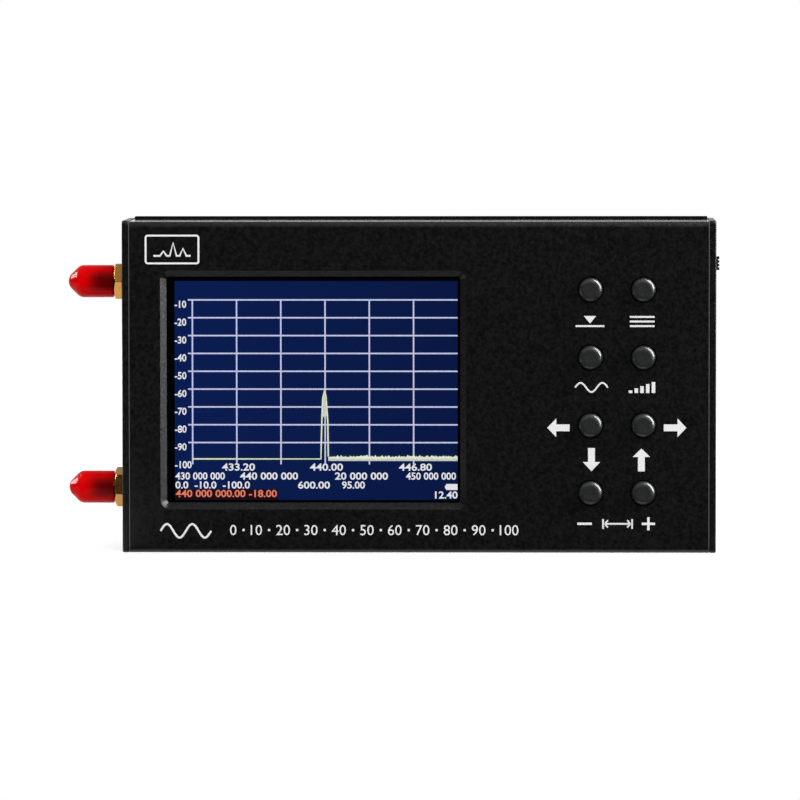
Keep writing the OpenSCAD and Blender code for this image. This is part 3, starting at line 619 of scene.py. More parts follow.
def lit_background():
    """The lit background of a liquid-crystal picture: deep blue that fades to the right, as seen off its axis."""
    colours = bpy.context.scene.analyzer_colours
    material = lit_pixels("lit_liquid_crystal", colours.screen_left)
    tree, surface = shader_of(material)
    low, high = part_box("display_glass")
    place = add_node(tree, "ShaderNodeTexCoord")
    across = add_node(tree, "ShaderNodeSeparateXYZ", links={"Vector": place.outputs["Object"]})
    share = add_node(tree, "ShaderNodeMapRange", links={"Value": across.outputs["X"]},
                     values={"From Min": low.x, "From Max": high.x})
    fade = add_node(tree, "ShaderNodeValToRGB", links={"Fac": share.outputs["Result"]})
    fade.color_ramp.elements[0].color = (*colours.screen_left, 1)
    fade.color_ramp.elements[1].color = (*colours.screen_right, 1)
    tree.links.new(fade.outputs["Color"], surface.inputs["Emission Color"])
    surface.inputs["Emission Strength"].default_value = 1.0
    return material


def on_screen(drawing, name, finish, shade):
    """Stands a drawing on the screen's background and lights its pixels."""
    layer = bpy.context.scene.analyzer_sizes.picture / MM
    piece = stood_up(drawing, GLASS_Y - layer, FOOT)
    hand_over(piece, name, lit_pixels(finish, shade))


class ANALYZER_OT_stage(bpy.types.Operator):
    """Sets up the camera, the light and the floor"""
    bl_idname = "analyzer.stage"
    bl_label = "Stage"

    look_at = Vector((-4.5702, 0, 34.1473)) * MM
    far_clip = 100
    # Places and sizes of the softboxes, in metres
    side_place, side_size = (0.578, -0.05, 0.43), (0.3, 0.82)
    front_place, front_size = (0.35, -1.1, 0.9), (0.9, 0.9)
    low_place, low_size = (-0.01, -0.07, -0.26), (0.26, 0.1)
    # Each cap's own softbox: its way from the cap's tip, its size and the spread that keeps it off the other cap
    cap_way, cap_size, cap_spread = Vector((-44, 15.1, 20.7)) * MM, (0.024, 0.015), math.radians(90)
    # Corners of the floor's card, and how much it is lifted to white where it is seen
    card = ((-600, -70), (-67, -70), (-67, -12.5), (600, -12.5), (600, 1180), (-600, 1180))
    card_lift = 0.64
    # The room in reflections, by direction: where its white sweep and its ceiling start and are full
    sweep_start, sweep_full, front_shade = 0.0, 0.5, 0.04
    ceiling_start, ceiling_full, ceiling_shade = 0.3, 0.7, 0.47

    def execute(self, context):
        stage = context.scene.analyzer_stage
        self.add_camera(context, stage)
        self.add_lamp("side_softbox", self.side_place, self.side_size, stage.side_light, unseen=["diffuse"])
        for side in SIDES:
            low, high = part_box(side + "_cap")
            tip = Vector((low.x + CAP_TIP * MM, (low.y + high.y) / 2, (low.z + high.z) / 2))
            small = self.add_lamp(side + "_cap_softbox", tip + self.cap_way, self.cap_size, stage.cap_light,
                                  tip, ["diffuse", "camera"])
            small.data.spread = self.cap_spread
        self.add_lamp("front_softbox", self.front_place, self.front_size, stage.front_light, unseen=["glossy"])
        self.add_lamp("low_softbox", self.low_place, self.low_size, stage.low_light, unseen=["camera"])
        self.add_floor()
        self.add_room(context, stage)
        context.scene.view_settings.view_transform = "Standard"
        return {"FINISHED"}

    def add_camera(self, context, stage):
        """The camera, aimed at the middle of the picture and turned by its roll."""
        level = math.cos(stage.elevation)
        back = Vector((math.sin(stage.azimuth) * level, -math.cos(stage.azimuth) * level,
                       math.sin(stage.elevation)))
        aim = (-back).to_track_quat("-Z", "Y") @ Quaternion((0, 0, 1), stage.roll)
        only()
        bpy.ops.object.camera_add(location=self.look_at + back * stage.distance, rotation=aim.to_euler())
        camera = context.object
        camera.data.lens = stage.lens
        camera.data.clip_end = self.far_clip
        context.scene.camera = camera

    def add_lamp(self, name, place, size, power, target=look_at, unseen=()):
        """A softbox aimed at a target, and unseen by some kinds of ray."""
        aim = (target - Vector(place)).to_track_quat("-Z", "Y")
        only()
        bpy.ops.object.light_add(type="AREA", location=place, rotation=aim.to_euler())
        lamp = bpy.context.object
        lamp.name = name
        lamp.data.shape = "RECTANGLE"
        lamp.data.size, lamp.data.size_y = size
        lamp.data.energy = power
        for rays in unseen:
            setattr(lamp, "visible_" + rays, False)
        return lamp

    def add_floor(self):
        """A white card just under the object that keeps its shadow; in front it reaches out by the caps alone."""
        floor = flat_face(self.card)
        moved(floor, 0, 0, -HAIR / MM)
        floor.name = "studio_floor"
        material = plain("white_studio_card")
        tree, surface = shader_of(material)
        surface.inputs["Emission Color"].default_value = (1, 1, 1, 1)
        path = add_node(tree, "ShaderNodeLightPath")
        seen = add_node(tree, "ShaderNodeMath", {"operation": "MAXIMUM"},
                        links={0: path.outputs["Is Camera Ray"], 1: path.outputs["Is Glossy Ray"]})
        seen = add_node(tree, "ShaderNodeMath", {"operation": "MAXIMUM"},
                        links={0: seen.outputs[0], 1: path.outputs["Is Transmission Ray"]})
        lift = add_node(tree, "ShaderNodeMath", {"operation": "MULTIPLY"}, {1: self.card_lift},
                        {0: seen.outputs[0]})
        tree.links.new(lift.outputs[0], surface.inputs["Emission Strength"])
        floor.data.materials.append(material)

    def add_room(self, context, stage):
        """A white sweep behind the object, seen in reflections too, with a dim ceiling and a dark front."""
        world = bpy.data.worlds.new("studio_room")
        context.scene.world = world
        world.use_nodes = True
        tree = world.node_tree
        path = add_node(tree, "ShaderNodeLightPath")
        place = add_node(tree, "ShaderNodeTexCoord")
        way = add_node(tree, "ShaderNodeSeparateXYZ", links={"Vector": place.outputs["Generated"]})
        depth = add_node(tree, "ShaderNodeMapRange", {"interpolation_type": "SMOOTHSTEP"},
                         {"From Min": self.sweep_start, "From Max": self.sweep_full,
                          "To Min": self.front_shade, "To Max": 1.0}, {"Value": way.outputs["Y"]})
        height = add_node(tree, "ShaderNodeMapRange", {"interpolation_type": "SMOOTHSTEP"},
                          {"From Min": self.ceiling_start, "From Max": self.ceiling_full},
                          {"Value": way.outputs["Z"]})
        sweep = add_node(tree, "ShaderNodeMix", values={3: self.ceiling_shade},
                         links={0: height.outputs["Result"], 2: depth.outputs["Result"]})
        mirrored = add_node(tree, "ShaderNodeBackground", links={"Strength": sweep.outputs[0]},
                            values={"Color": (1, 1, 1, 1)})
        even = add_node(tree, "ShaderNodeBackground",
                        values={"Color": (1, 1, 1, 1), "Strength": stage.room_light})
        white = add_node(tree, "ShaderNodeBackground", values={"Color": (1, 1, 1, 1), "Strength": 1.0})
        lit = add_node(tree, "ShaderNodeMixShader", links={0: path.outputs["Is Glossy Ray"],
                                                          1: even.outputs[0], 2: mirrored.outputs[0]})
        seen = add_node(tree, "ShaderNodeMath", {"operation": "MAXIMUM"},
                        links={0: path.outputs["Is Camera Ray"], 1: path.outputs["Is Transmission Ray"]})
        all_rays = add_node(tree, "ShaderNodeMixShader", links={0: seen.outputs[0], 1: lit.outputs[0],
                                                               2: white.outputs[0]})
        tree.links.new(all_rays.outputs[0], tree.nodes["World Output"].inputs["Surface"])


class ANALYZER_OT_case(bpy.types.Operator):
    """Rounds the cut edges of the shell, the cover and the end plates and coats them"""
    bl_idname = "analyzer.case"
    bl_label = "Case"

    # The shell's long front edges have this radius, and its holes lie further in than this from its ends
    shell_radius, shell_margin = 1.5, 1.0
    # Depths from the back: an edge of the cover's outline has one end within the first and both within the second
    cover_edge, cover_sheet = 1.01, 2.01
    # A plate's rim, with its round corners, lies within the first of its sides, and its holes beyond the second
    rim_depth, plate_margin = 0.35, 1.2
    outer_steps, edge_steps = 4, 2

    def execute(self, context):
        sizes = context.scene.analyzer_sizes
        rounds = {"front_shell": self.shell, "back_cover": self.cover,
                  "left_end_plate": self.plate, "right_end_plate": self.plate}
        for node, edges in rounds.items():
            low, high, _ = measured(node)
            piece = softened(node, *edges(low, high, sizes))
            finish = coat_with_painted_seam_highlight() if node == "front_shell" else powder_coat()
            hand_over(piece, "coated_" + node, finish, stands_for=[node])
        return {"FINISHED"}

    def in_plane(self, points, axis, value):
        return all(abs(point[axis] - value) < NEAR for point in points)

    def at_end(self, points, low, high):
        return self.in_plane(points, 0, low.x) or self.in_plane(points, 0, high.x)

    def shell(self, low, high, sizes):
        """The shell's outline at both ends, then the window and the key holes in its front."""
        front = low.y + self.shell_radius + NEAR

        def end(*points):
            outside = all(p.y < front or min(p.z - low.z, high.z - p.z) < NEAR for p in points)
            return outside and self.at_end(points, low, high)

        def hole(*points):
            inside = all(min(p.x - low.x, high.x - p.x) > self.shell_margin for p in points)
            return inside and self.in_plane(points, 1, low.y)

        return (sizes.case_edge, self.edge_steps, end), (sizes.hole_edge, self.edge_steps, hole)

    def cover(self, low, high, sizes):
        """The cover's outline at both ends."""
        def end(*points):
            depths = [high.y - p.y for p in points]
            outside = min(depths) < self.cover_edge and max(depths) < self.cover_sheet
            return outside and self.at_end(points, low, high)

        return ((sizes.case_edge, self.edge_steps, end),)

    def plate(self, low, high, sizes):
        """A plate's outer rim, its inner rim and then its holes."""
        outer, inner = (low.x, high.x) if low.x < 0 else (high.x, low.x)

        def from_rim(point):
            return min(point.y - low.y, high.y - point.y, point.z - low.z, high.z - point.z)

        def rim(plane):
            return lambda *points: (self.in_plane(points, 0, plane)
                                    and all(from_rim(p) < self.rim_depth for p in points))

        def hole(*points):
            return self.in_plane(points, 0, outer) and all(from_rim(p) > self.plate_margin for p in points)

        return ((sizes.plate_edge, self.outer_steps, rim(outer)), (sizes.case_edge, self.edge_steps, rim(inner)),
                (sizes.hole_edge, self.edge_steps, hole))


class ANALYZER_OT_screws(bpy.types.Operator):
    """Rounds the edges of the end plates' screws and blackens them"""
    bl_idname = "analyzer.screws"
    bl_label = "Screws"

    edge_steps = 2

    def execute(self, context):
        edge = context.scene.analyzer_sizes.metal_edge / 2
        for node in ("left_plate_screws", "right_plate_screws"):
            low, high, _ = measured(node)
            outside = max(low.x, high.x, key=abs)
            piece = softened(node, (edge, self.edge_steps,
                                    lambda a, b: max(abs(a.x - outside), abs(b.x - outside)) < NEAR))
            hand_over(piece, "blackened_" + node, plain("black_oxide_steel"), stands_for=[node])
        return {"FINISHED"}


class ANALYZER_OT_screen(bpy.types.Operator):
    """Makes the lit background of the screen's picture"""
    bl_idname = "analyzer.screen"
    bl_label = "Screen"

    def execute(self, context):
        finished(frame["nodes"]["display_glass"], plain("satin_polariser"))
        panel = printed([bar(*SCREEN)], context.scene.analyzer_sizes.picture)
        hand_over(stood_up(panel, GLASS_Y, FOOT), "screen_background", lit_background())
        return {"FINISHED"}


class ANALYZER_OT_screen_grid(bpy.types.Operator):
    """Draws the grid of the screen's picture"""
    bl_idname = "analyzer.screen_grid"
    bl_label = "Screen grid"

    row_start, column_foot = -52.6, 19.72
    column_layers = 1.5

    def execute(self, context):
        sizes = context.scene.analyzer_sizes
        half = sizes.grid_line / MM / 2
        rows = [GRID_TOP - n * GRID_STEP for n in range(GRID_ROWS - 1)]
        across = printed([bar(self.row_start, z - half, SCREEN[2], z + half) for z in rows], sizes.picture)
        columns = [GRID_LEFT + n * GRID_PITCH for n in range(GRID_COLUMNS)]
        up = printed([bar(x - half, self.column_foot, x + half, GRID_TOP + half) for x in columns],
                     self.column_layers * sizes.picture)
        on_screen(joined([across, up]), "screen_grid", "lit_grid_pixels", context.scene.analyzer_colours.grid)
        return {"FINISHED"}


class ANALYZER_OT_screen_trace(bpy.types.Operator):
    """Draws the measured trace: an even floor, one narrow peak and a ragged floor"""
    bl_idname = "analyzer.screen_trace"
    bl_label = "Screen trace"

    level = 20.95
    peak = ((-22.35, level), (-22.26, 25.0), (-22.08, 31.2), (-21.9, 34.85), (-21.47, 37.2),
            (-21.16, 34.9), (-20.9, 31.2), (-20.78, 29.4), (-20.68, 21.5))
    filled_peak = ((-22.05, 31.0), (-21.5, 30.2), (-20.95, 31.0), (-21.1, 34.9), (-21.47, 37.0), (-21.8, 34.9))
    trace_layers = 2
    # The ragged floor: its step along the trace, its foot over the level, its even part and its random rise
    noise_step, noise_foot, noise_band, noise_rise, noise_seed = 0.26, 0.05, 0.4, 0.5, 6
    # The glow beside the line: its width in lines, its thickness in layers and its rise over the ragged floor
    glow_shade, glow_lines, glow_layers, glow_rise = "#08283a", 3, 0.5, 0.5
    # The held trace under the ragged floor and in the peak
    held_shade, held_height, held_layers = "#c9cdc6", 0.5, 1.6

    def execute(self, context):
        sizes = context.scene.analyzer_sizes
        layer = sizes.picture / MM
        width = sizes.trace_line / MM
        draw = random.Random(self.noise_seed)
        start = (GRID_LEFT, self.level)
        left, right = self.peak[-1][0], SCREEN[2]
        foot = self.level + self.noise_foot
        top = foot + self.noise_band
        steps = int((right - left) / self.noise_step)
        ragged = [(right - n * self.noise_step, top + self.noise_rise * draw.random() ** 2)
                  for n in range(1, steps)]
        line = stroke([start, *self.peak], width, self.trace_layers * layer)
        noise = printed([flat_face([(left, foot), (right, foot), (right, top), *ragged, (left, top)])],
                        self.trace_layers * sizes.picture)
        on_screen(joined([line, noise]), "screen_trace", "lit_trace_pixels", context.scene.analyzer_colours.trace)
        glow = stroke([start, *self.peak, (right, self.level + self.glow_rise)], self.glow_lines * width,
                      self.glow_layers * layer)
        on_screen(glow, "screen_trace_glow", "lit_glow_pixels", linear(self.glow_shade))
        held = printed([bar(left, foot - self.held_height, right, foot), flat_face(self.filled_peak)],
                       self.held_layers * sizes.picture)
        on_screen(held, "screen_held_trace", "lit_held_pixels", linear(self.held_shade))
        return {"FINISHED"}


class ANALYZER_OT_screen_figures(bpy.types.Operator):
    """Sets the plain numbers and the charge sign on the screen"""
    bl_idname = "analyzer.screen_figures"
    bl_label = "Screen figures"

    height, bold, layers = 1.68, 0.02, 2
    # The labels of the grid's rows: their drop under the lines, their width and the last one's
    label_drop, label_width, last_width = 1.0, 2.65, 3.8
    # Each row of numbers: its left side, the middle of its height and its width
    rows = (
        ("433.20", -44.91, 19.1, 7.53), ("440.00", -24.85, 19.1, 7.52), ("446.80", -4.57, 19.1, 7.52),
        ("430 000 000", -55.55, 17.05, 11.3), ("440 000 000", -40.81, 17.05, 13.23),
        ("20 000 000", -19.15, 17.05, 12.07), ("450 000 000", -2.98, 17.05, 11.39),
        ("0.0  -10.0  -100.0", -55.55, 15.0, 17.0), ("600.00", -27.59, 15.0, 7.3), ("95.00", -17.56, 15.0, 5.24),
        ("12.40", 3.63, 12.75, 5.15),
    )
    charge_sign = ((6.16, 13.89, 8.76, 15.26), (5.91, 14.25, 6.16, 14.9))
    red_row = ("440 000 000.00 -18.00", -55.5, 13.05, 23.1)
    # The ground of the red row, and how far it reaches past the numbers to the right and upwards
    ground_shade, ground_layers, ground_right, ground_up = "#1c0c16", 0.5, 0.2, 1.0

    def execute(self, context):
        layer = context.scene.analyzer_sizes.picture
        colours = context.scene.analyzer_colours
        widths = [self.label_width] * (GRID_ROWS - 1) + [self.last_width]
        labels = [(str(-10 * (n + 1)), SCREEN[0], GRID_TOP - n * GRID_STEP - self.label_drop, width)
                  for n, width in enumerate(widths)]
        white = [*map(self.numbers, (*labels, *self.rows)), *(bar(*part) for part in self.charge_sign)]
        on_screen(printed(white, self.layers * layer), "screen_figures", "lit_figure_pixels", colours.figures)
        red = [self.numbers(self.red_row)]
        on_screen(printed(red, self.layers * layer), "screen_red_figures", "lit_alert_pixels", colours.alert)
        _, left, middle, width = self.red_row
        ground = [bar(*SCREEN[:2], left + width + self.ground_right, middle + self.ground_up)]
        on_screen(printed(ground, self.ground_layers * layer), "screen_red_row", "lit_row_pixels",
                  linear(self.ground_shade))
        return {"FINISHED"}

    def numbers(self, row):
        """One row of numbers."""
        body, left, middle, width = row
        return figures(body, left, middle, self.height, width, self.bold)


class ANALYZER_OT_key_caps(bpy.types.Operator):
    """Turns the eight key caps, with a soft rim and a shallow dish"""
    bl_idname = "analyzer.key_caps"
    bl_label = "Key caps"

    socket_width, socket_depth = 2.24, 1.6
    back_edge = 0.15
    dish_steps = 6

    def execute(self, context):
        first = self.model(context.scene.analyzer_sizes)
        origin = measured(KEYS[0] + "_key_cap")[2]
        for key in KEYS:
            place = measured(key + "_key_cap")[2] - origin
            cap = copied(first)
            moved(cap, place.x, 0, place.z)
            hand_over(cap, key + "_key_button", key_plastic(), key + "_key", [key + "_key_cap"])
        bpy.data.objects.remove(first)
        return {"FINISHED"}

    def model(self, sizes):
        """One cap, turned at its place: its back has the square socket for the switch's stem."""
        low, high, middle = measured(KEYS[0] + "_key_cap")
        r = (high.x - low.x) / 2
        rim = sizes.key_rim / MM
        dish = sizes.key_dish / MM
        face = r - rim
        shares = [n / self.dish_steps for n in range(self.dish_steps)]
        dished = [(low.y + dish * (1 - share ** 2), face * share) for share in shares]
        rim_arc = [(y, x) for x, y in arc((face, low.y + rim), rim, -90, 0)]
        back = [(high.y - self.back_edge, r), (high.y, r - self.back_edge), (high.y, 0)]
        cap = turned([*dished, *rim_arc, *back], "Y", sizes.round_steps)
        only()
        bpy.ops.mesh.primitive_cube_add(size=MM)
        stem = bpy.context.object
        stem.scale = (self.socket_width, 2 * self.socket_depth, self.socket_width)
        stem.location.y = high.y * MM
        cut(cap, stem)
        moved(cap, middle.x, 0, middle.z)
        smoothed(cap)
        return cap


class ANALYZER_OT_key_legends(bpy.types.Operator):
    """Prints the arrows, signs and pictograms beside the keys"""
    bl_idname = "analyzer.key_legends"
    bl_label = "Key legends"

    line = 0.42
    # Each arrow's tip and direction, the length and half the width of its head, and the length of its shaft
    arrows = (((29.17, 28.24), (-1, 0), 2.06, 2.12, 3.02), ((60.75, 28.25), (1, 0), 2.02, 2.12, 3.11),
              ((39.22, 18.37), (0, -1), 2.09, 1.98, 3.19), ((50.55, 23.54), (0, 1), 1.93, 1.98, 3.28))
    half_shaft = 0.78
    # The minus sign's sides, the plus sign's middle and reach, and the height and half the line of both
    minus_left, minus_right, plus_x, plus_reach = 36.01, 39.31, 52.16, 1.5
    sign_z, half_sign = 6.4, 0.27
    # The width mark between the signs: its ends, its height, half its end lines and the size of its arrowheads
    span_ends, span_z, span_reach, span_head = (41.85, 48.45), 6.37, 1.1, 0.8
    # How far its line and its arrowheads stay off its end lines
    span_gap, head_gap = 0.3, 0.35
    # The marker key's pointer and the ends of its base line, on the foot that it shares with the menu key's list
    pointer, base_line, upper_foot = ((37.46, 53.65), (38.86, 51.95), (40.26, 53.65)), (35.6, 42.12), 51.15
    menu_ends, menu_step, menu_lines = (47.9, 53.5), 1.04, 3
    # The level key's rising bars: where they start, their pitch and width, the first one's height and the rise
    level_left, level_foot, level_count = 47.67, 36.16, 5
    level_pitch, level_width, level_height, level_rise = 1.3, 0.8, 0.59, 0.48
    # The frequency key's wave: its ends, its level and rise, its waves and its steps
    frequency_wave = (35.5, 42.9, 37.41, 1.05, 1.5, 36)

    def execute(self, context):
        ink = context.scene.analyzer_sizes.ink
        arrows = [arrow(*each, self.half_shaft) for each in self.arrows]
        flat = printed([*arrows, *self.signs(), *self.menu_bars(), *self.level_bars(), *self.marker()], ink)
        lines = [wave(*self.frequency_wave), *self.span()]
        drawn = joined([stroke(points, self.line, ink / MM) for points in lines])
        legends = stood_up(joined([flat, drawn]), FACE_Y, FOOT)
        hand_over(legends, "key_legends", printed_ink())
        return {"FINISHED"}

    def signs(self):
        """The minus and the plus sign."""
        half, reach, z = self.half_sign, self.plus_reach, self.sign_z
        plus = [(-reach, -half), (-half, -half), (-half, -reach), (half, -reach), (half, -half), (reach, -half),
                (reach, half), (half, half), (half, reach), (-half, reach), (-half, half), (-reach, half)]
        return [bar(self.minus_left, z - half, self.minus_right, z + half),
                flat_face([(self.plus_x + across, z + up) for across, up in plus])]

    def marker(self):
        """A pointer over a base line."""
        left, right = self.base_line
        return [flat_face(self.pointer), bar(left, self.upper_foot, right, self.upper_foot + self.line)]

    def menu_bars(self):
        """The lines of a list."""
        left, right = self.menu_ends
        feet = [self.upper_foot + n * self.menu_step for n in range(self.menu_lines)]
        return [bar(left, foot, right, foot + self.line) for foot in feet]

    def level_bars(self):
        """Bars that rise to the right."""
        bars = []
        for n in range(self.level_count):
            left = self.level_left + n * self.level_pitch
            top = self.level_foot + self.level_height + n * self.level_rise
            bars.append(bar(left, self.level_foot, left + self.level_width, top))
        return bars

    def span(self):
        """Lines of the width mark: one across, and an end line and an arrowhead at each end."""
        z, head = self.span_z, self.span_head
        low, high = self.span_ends
        lines = [[(low + self.span_gap, z), (high - self.span_gap, z)]]
        for end, inwards in ((low, 1), (high, -1)):
            tip = end + inwards * self.head_gap
            tail = end + inwards * (head + self.span_gap)
            lines.append([(end, z - self.span_reach), (end, z + self.span_reach)])
            lines.append([(tail, z + head), (tip, z), (tail, z - head)])
        return lines


class ANALYZER_OT_face_marks(bpy.types.Operator):
    """Prints the framed sign above the screen and the number scale under it"""
    bl_idname = "analyzer.face_marks"
    bl_label = "Face marks"

    line = 0.5
    badge, badge_line, badge_radius = (-62.23, 65.39, -49.8, 72.11), 0.42, 0.7
    # The line in the badge: its level over the badge's foot, its peak, and its points by share of both
    pulse_level, pulse_peak = 1.9, 3.0
    pulse = ((0.16, 0), (0.28, 0), (0.34, 0.35), (0.4, 0), (0.46, 0), (0.52, 1), (0.58, 0),
             (0.64, 0), (0.7, 0.55), (0.76, 0), (0.84, 0))
    scale_left, scale_right, scale_middle = -42.99, 22.65, 4.905
    figure_height, half_dot = 2.35, 0.25
    # The wave at the left of the scale: its ends, its level and rise, its waves and its steps
    scale_wave = (-58.8, -47.3, 4.68, 1.55, 2, 48)

    def execute(self, context):
        ink = context.scene.analyzer_sizes.ink
        flat = printed([rounded_frame(*self.badge, self.badge_line, self.badge_radius), *self.scale()], ink)
        left, foot, right, _ = self.badge
        peaks = [(left + (right - left) * share, foot + self.pulse_level + self.pulse_peak * rise)
                 for share, rise in self.pulse]
        drawn = [stroke(points, self.line, ink / MM) for points in (peaks, wave(*self.scale_wave))]
        marks = stood_up(joined([flat, *drawn]), FACE_Y, FOOT)
        hand_over(marks, "face_marks", printed_ink())
        return {"FINISHED"}

    def scale(self):
        """Numbers with even gaps between them, and a dot in the middle of each gap."""
        low, high = self.scale_middle - self.half_dot, self.scale_middle + self.half_dot
        numbers = [figures(str(10 * n), 0, self.scale_middle, self.figure_height) for n in range(11)]
        widths = [number.dimensions.x / MM for number in numbers]
        gap = (self.scale_right - self.scale_left - sum(widths)) / (len(numbers) - 1)
        left = self.scale_left
        dots = []
        for number, width in zip(numbers, widths):
            if number != numbers[0]:
                dots.append(bar(left - gap / 2 - self.half_dot, low, left - gap / 2 + self.half_dot, high))
            moved(number, left)
            left += width + gap
        return numbers + dots


class ANALYZER_OT_connectors(bpy.types.Operator):
    """Cuts the connectors' threads and finishes their nuts, washers and contacts"""
    bl_idname = "analyzer.connectors"
    bl_label = "Connectors"

    thread_radius = 3.175
    # A nut's edges further out than this are rounded, and those of its bore aren't
    nut_bore, edge_steps = 3.5, 2
    # The cutter's radius, its reach past the barrel's end and the gap that it leaves at the nut
    cutter_radius, cutter_reach, cutter_gap = 5, 1, 0.1
    # The thread's ridge: its start behind the barrel's end, the length it leaves free and how deep it is rooted
    ridge_start, ridge_free, ridge_root = 0.3, 0.4, 0.05
    # Its top and its far foot by share of the pitch, and its flats round the barrel
    ridge_top, ridge_foot, ridge_steps = 0.45, 0.9, 48

    def execute(self, context):
        sizes = context.scene.analyzer_sizes
        for side in SIDES:
            nut = softened(side + "_nut", (sizes.metal_edge, self.edge_steps, self.outside(side + "_nut")))
            hand_over(nut, side + "_hex_nut", gold_plate(), stands_for=[side + "_nut"])
            barrel = joined([self.cut_back(side, sizes), self.ridge(side, sizes)])
            hand_over(barrel, side + "_threaded_jack", gold_plate(),
                      stands_for=[side + "_jack"])
            for part, material in (("_washer", gold_plate()), ("_contact", gold_plate()),
                                   ("_insulator", plain("turned_ptfe"))):
                finished(frame["nodes"][side + part], material)
        return {"FINISHED"}

    def outside(self, node):
        """Tells the nut's outer edges from those of its bore."""
        middle = measured(node)[2]
        return lambda a, b: min(math.hypot(p.y - middle.y, p.z - middle.z) for p in (a, b)) > self.nut_bore

    def barrel(self, side):
        """Where a connector's free barrel starts and ends, and the middle of it across."""
        return measured(side + "_nut")[0].x, measured(side + "_jack")[0].x, measured(side + "_insulator")[2]

    def cut_back(self, side, sizes):
        """The connector, its free barrel cut back to the thread's core."""
        start, end, middle = self.barrel(side)
        core = self.thread_radius - sizes.thread_depth / MM
        near, far = start - self.cutter_gap, end - self.cutter_reach
        tool = turned([(far, core), (far, self.cutter_radius), (near, self.cutter_radius), (near, core)],
                      "X", sizes.round_steps)
        moved(tool, 0, middle.y, middle.z)
        jack = softened(side + "_jack")
        cut(jack, tool)
        smoothed(jack)
        return jack

    def ridge(self, side, sizes):
        """The thread's ridge, wound along the barrel from its end."""
        start, end, middle = self.barrel(side)
        pitch = sizes.thread_pitch / MM
        base = self.thread_radius - sizes.thread_depth / MM - self.ridge_root
        turns = int((start - end - self.ridge_free) / pitch) - 1
        first = end + self.ridge_start
        section = [(first, base), (first + self.ridge_top * pitch, self.thread_radius),
                   (first + self.ridge_foot * pitch, base)]
        ridge = outlined(section, "X")
        applied(ridge, "SCREW", axis="X", angle=math.tau, steps=self.ridge_steps, render_steps=self.ridge_steps,
                screw_offset=sizes.thread_pitch, iterations=turns)
        opened(ridge)
        bpy.ops.mesh.fill_holes(sides=len(section))
        closed_up(ridge)
        moved(ridge, 0, middle.y, middle.z)
        smoothed(ridge)
        return ridge


class ANALYZER_OT_dust_caps(bpy.types.Operator):
    """Turns the two soft dust caps"""
    bl_idname = "analyzer.dust_caps"
    bl_label = "Dust caps"

    wall = 0.5
    shoulder = 2.2
    # The slope of the conical nose to a plane across the cap, and the turn up to which the skin is smooth
    nose, smooth_turn = 45, 50

    def execute(self, context):
        steps = context.scene.analyzer_sizes.round_steps
        vinyl = dipped_vinyl()
        for side in SIDES:
            low, high, middle = measured(side + "_cap")
            cap = turned(self.outline(low, high), "X", steps)
            moved(cap, 0, middle.y, middle.z)
            smoothed(cap, self.smooth_turn)
            hand_over(cap, side + "_cap_skin", vinyl, side + "_dust_cap", [side + "_cap"])
        return {"FINISHED"}

    def outline(self, low, high):
        """The wall's section, inside and out: a straight side, a round shoulder, a conical nose, a round tip."""
        r = (high.z - low.z) / 2
        lean = 90 - self.nose
        turn = math.radians(lean)
        tip = (low.x + CAP_TIP, 0)
        reach = tip[0] * math.sin(turn) - CAP_TIP + self.shoulder
        shoulder = ((reach + (r - self.shoulder) * math.cos(turn)) / math.sin(turn), r - self.shoulder)

        def side(wall):
            return [*arc(tip, CAP_TIP - wall, 180, 90 + lean),
                    *arc(shoulder, self.shoulder - wall, 90 + lean, 90)]

        lip = self.wall / 2
        rim = arc((high.x - lip, r - lip), lip, 90, -90)
        return [*side(0), *rim, *reversed(side(self.wall))]


class ANALYZER_OT_power_knob(bpy.types.Operator):
    """Rounds the power switch's knob"""
    bl_idname = "analyzer.power_knob"
    bl_label = "Power knob"

    grip_depth, edge_steps = 0.4, 2

    def execute(self, context):
        node = "power_switch_knob"
        grip = measured(node)[1].x - self.grip_depth
        edge = context.scene.analyzer_sizes.metal_edge / 2
        knob = softened(node, (edge, self.edge_steps, lambda a, b: min(a.x, b.x) > grip))
        hand_over(knob, "power_knob_grip", plain("moulded_acetal"), "power_knob", [node])
        return {"FINISHED"}


class ANALYZER_OT_charging_socket(bpy.types.Operator):
    """Finishes the charging socket and lays its contacts"""
    bl_idname = "analyzer.charging_socket"
    bl_label = "Charging socket"

    contacts, contact_pitch, contact_width, contact_thickness = 12, 0.5, 0.26, 0.03
    # Where a contact starts and ends behind the tongue's mouth, and half the tongue's thickness there
    contact_start, contact_end, half_tongue = 0.4, 3.6, 0.35

    def execute(self, context):
        finished(frame["nodes"]["charging_socket_shell"], plain("tin_plated_steel"))
        finished(frame["nodes"]["charging_socket_tongue"], plain("moulded_epoxy"))
        _, high, middle = measured("charging_socket_tongue")
        half = self.contact_width / 2
        rows = [middle.z + (n - (self.contacts - 1) / 2) * self.contact_pitch for n in range(self.contacts)]
        strips = [bar(high.x - self.contact_end, z - half, high.x - self.contact_start, z + half) for z in rows]
        front = stood_up(printed(strips, self.contact_thickness * MM), middle.y - self.half_tongue)
        back = copied(front)
        moved(back, 0, 2 * self.half_tongue + self.contact_thickness, 0)
        hand_over(joined([front, back]), "charging_contacts", gold_plate())
        return {"FINISHED"}


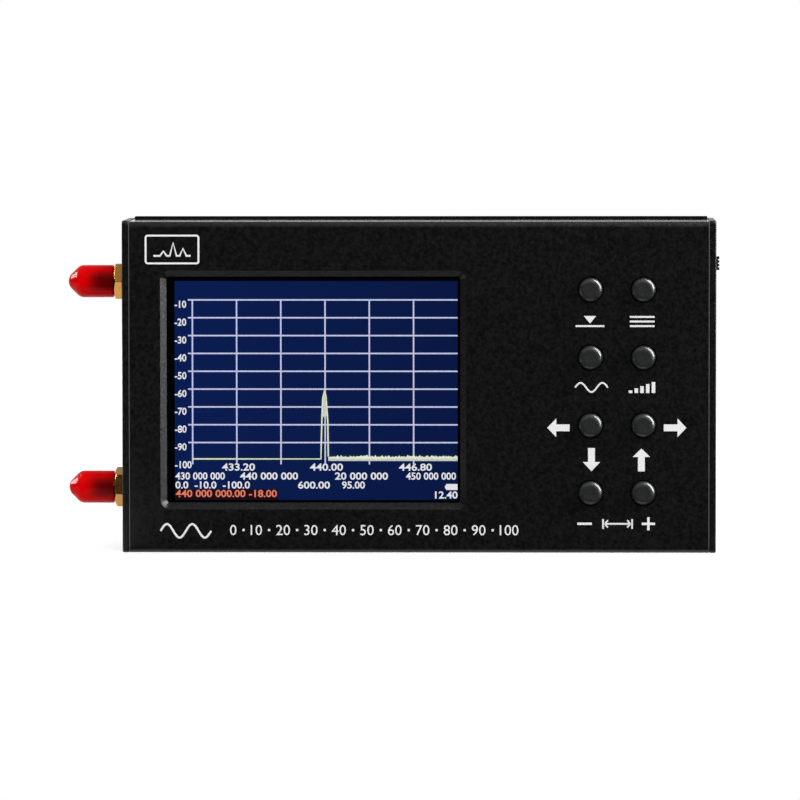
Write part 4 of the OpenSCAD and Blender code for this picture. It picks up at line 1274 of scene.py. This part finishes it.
class ANALYZER_OT_inner_pieces(bpy.types.Operator):
    """Gives the pieces inside the case their finishes"""
    bl_idname = "analyzer.inner_pieces"
    bl_label = "Inner pieces"

    finishes = {
        "closed_cell_foam": ["display_gasket", "display_pads", "battery_pad"],
        "moulded_nylon": ["display_frame", "display_socket", "battery_plug", "battery_plug_socket"],
        "polyimide_film": ["display_flex"],
        "solder_resist": ["main_board"],
        "heat_proof_nylon": ["key_switches", *[key + "_key_plunger" for key in KEYS]],
        "tin_plated_steel": ["input_shield_can", "output_shield_can", "power_switch_housing"],
        "moulded_epoxy": ["board_chips"],
        "laminated_foil": ["battery_pack"],
        "silicone_insulation": ["battery_leads"],
    }

    def execute(self, context):
        for finish, nodes in self.finishes.items():
            for node in nodes:
                finished(frame["nodes"][node], plain(finish))
        return {"FINISHED"}


OPERATORS = (
    ANALYZER_OT_stage, ANALYZER_OT_case, ANALYZER_OT_screws, ANALYZER_OT_screen, ANALYZER_OT_screen_grid,
    ANALYZER_OT_screen_trace, ANALYZER_OT_screen_figures, ANALYZER_OT_key_caps, ANALYZER_OT_key_legends,
    ANALYZER_OT_face_marks, ANALYZER_OT_connectors, ANALYZER_OT_dust_caps, ANALYZER_OT_power_knob,
    ANALYZER_OT_charging_socket, ANALYZER_OT_inner_pieces,
)


class ANALYZER_PT_panel(bpy.types.Panel):
    """Lists the analyzer's settings and pieces"""
    bl_idname = "ANALYZER_PT_panel"
    bl_label = "Handheld Spectrum Analyzer"
    bl_space_type = "VIEW_3D"
    bl_region_type = "UI"
    bl_category = "Analyzer"

    def draw(self, context):
        for group in (getattr(context.scene, name) for name in GROUPS):
            box = self.layout.box()
            for name in group.__annotations__:
                box.prop(group, name)
        for operator in OPERATORS:
            self.layout.operator(operator.bl_idname)


GROUPS = {"analyzer_sizes": AnalyzerSizes, "analyzer_colours": AnalyzerColours, "analyzer_stage": AnalyzerStage}


def register():
    for kind in (*GROUPS.values(), *OPERATORS, ANALYZER_PT_panel):
        bpy.utils.register_class(kind)
    for name, group in GROUPS.items():
        setattr(bpy.types.Scene, name, PointerProperty(type=group))


def unregister():
    for name in GROUPS:
        delattr(bpy.types.Scene, name)
    for kind in reversed((*GROUPS.values(), *OPERATORS, ANALYZER_PT_panel)):
        bpy.utils.unregister_class(kind)


def main():
    register()
    for operator in OPERATORS:
        family, name = operator.bl_idname.split(".")
        getattr(getattr(bpy.ops, family), name)()


if __name__ == "__main__":
    main()
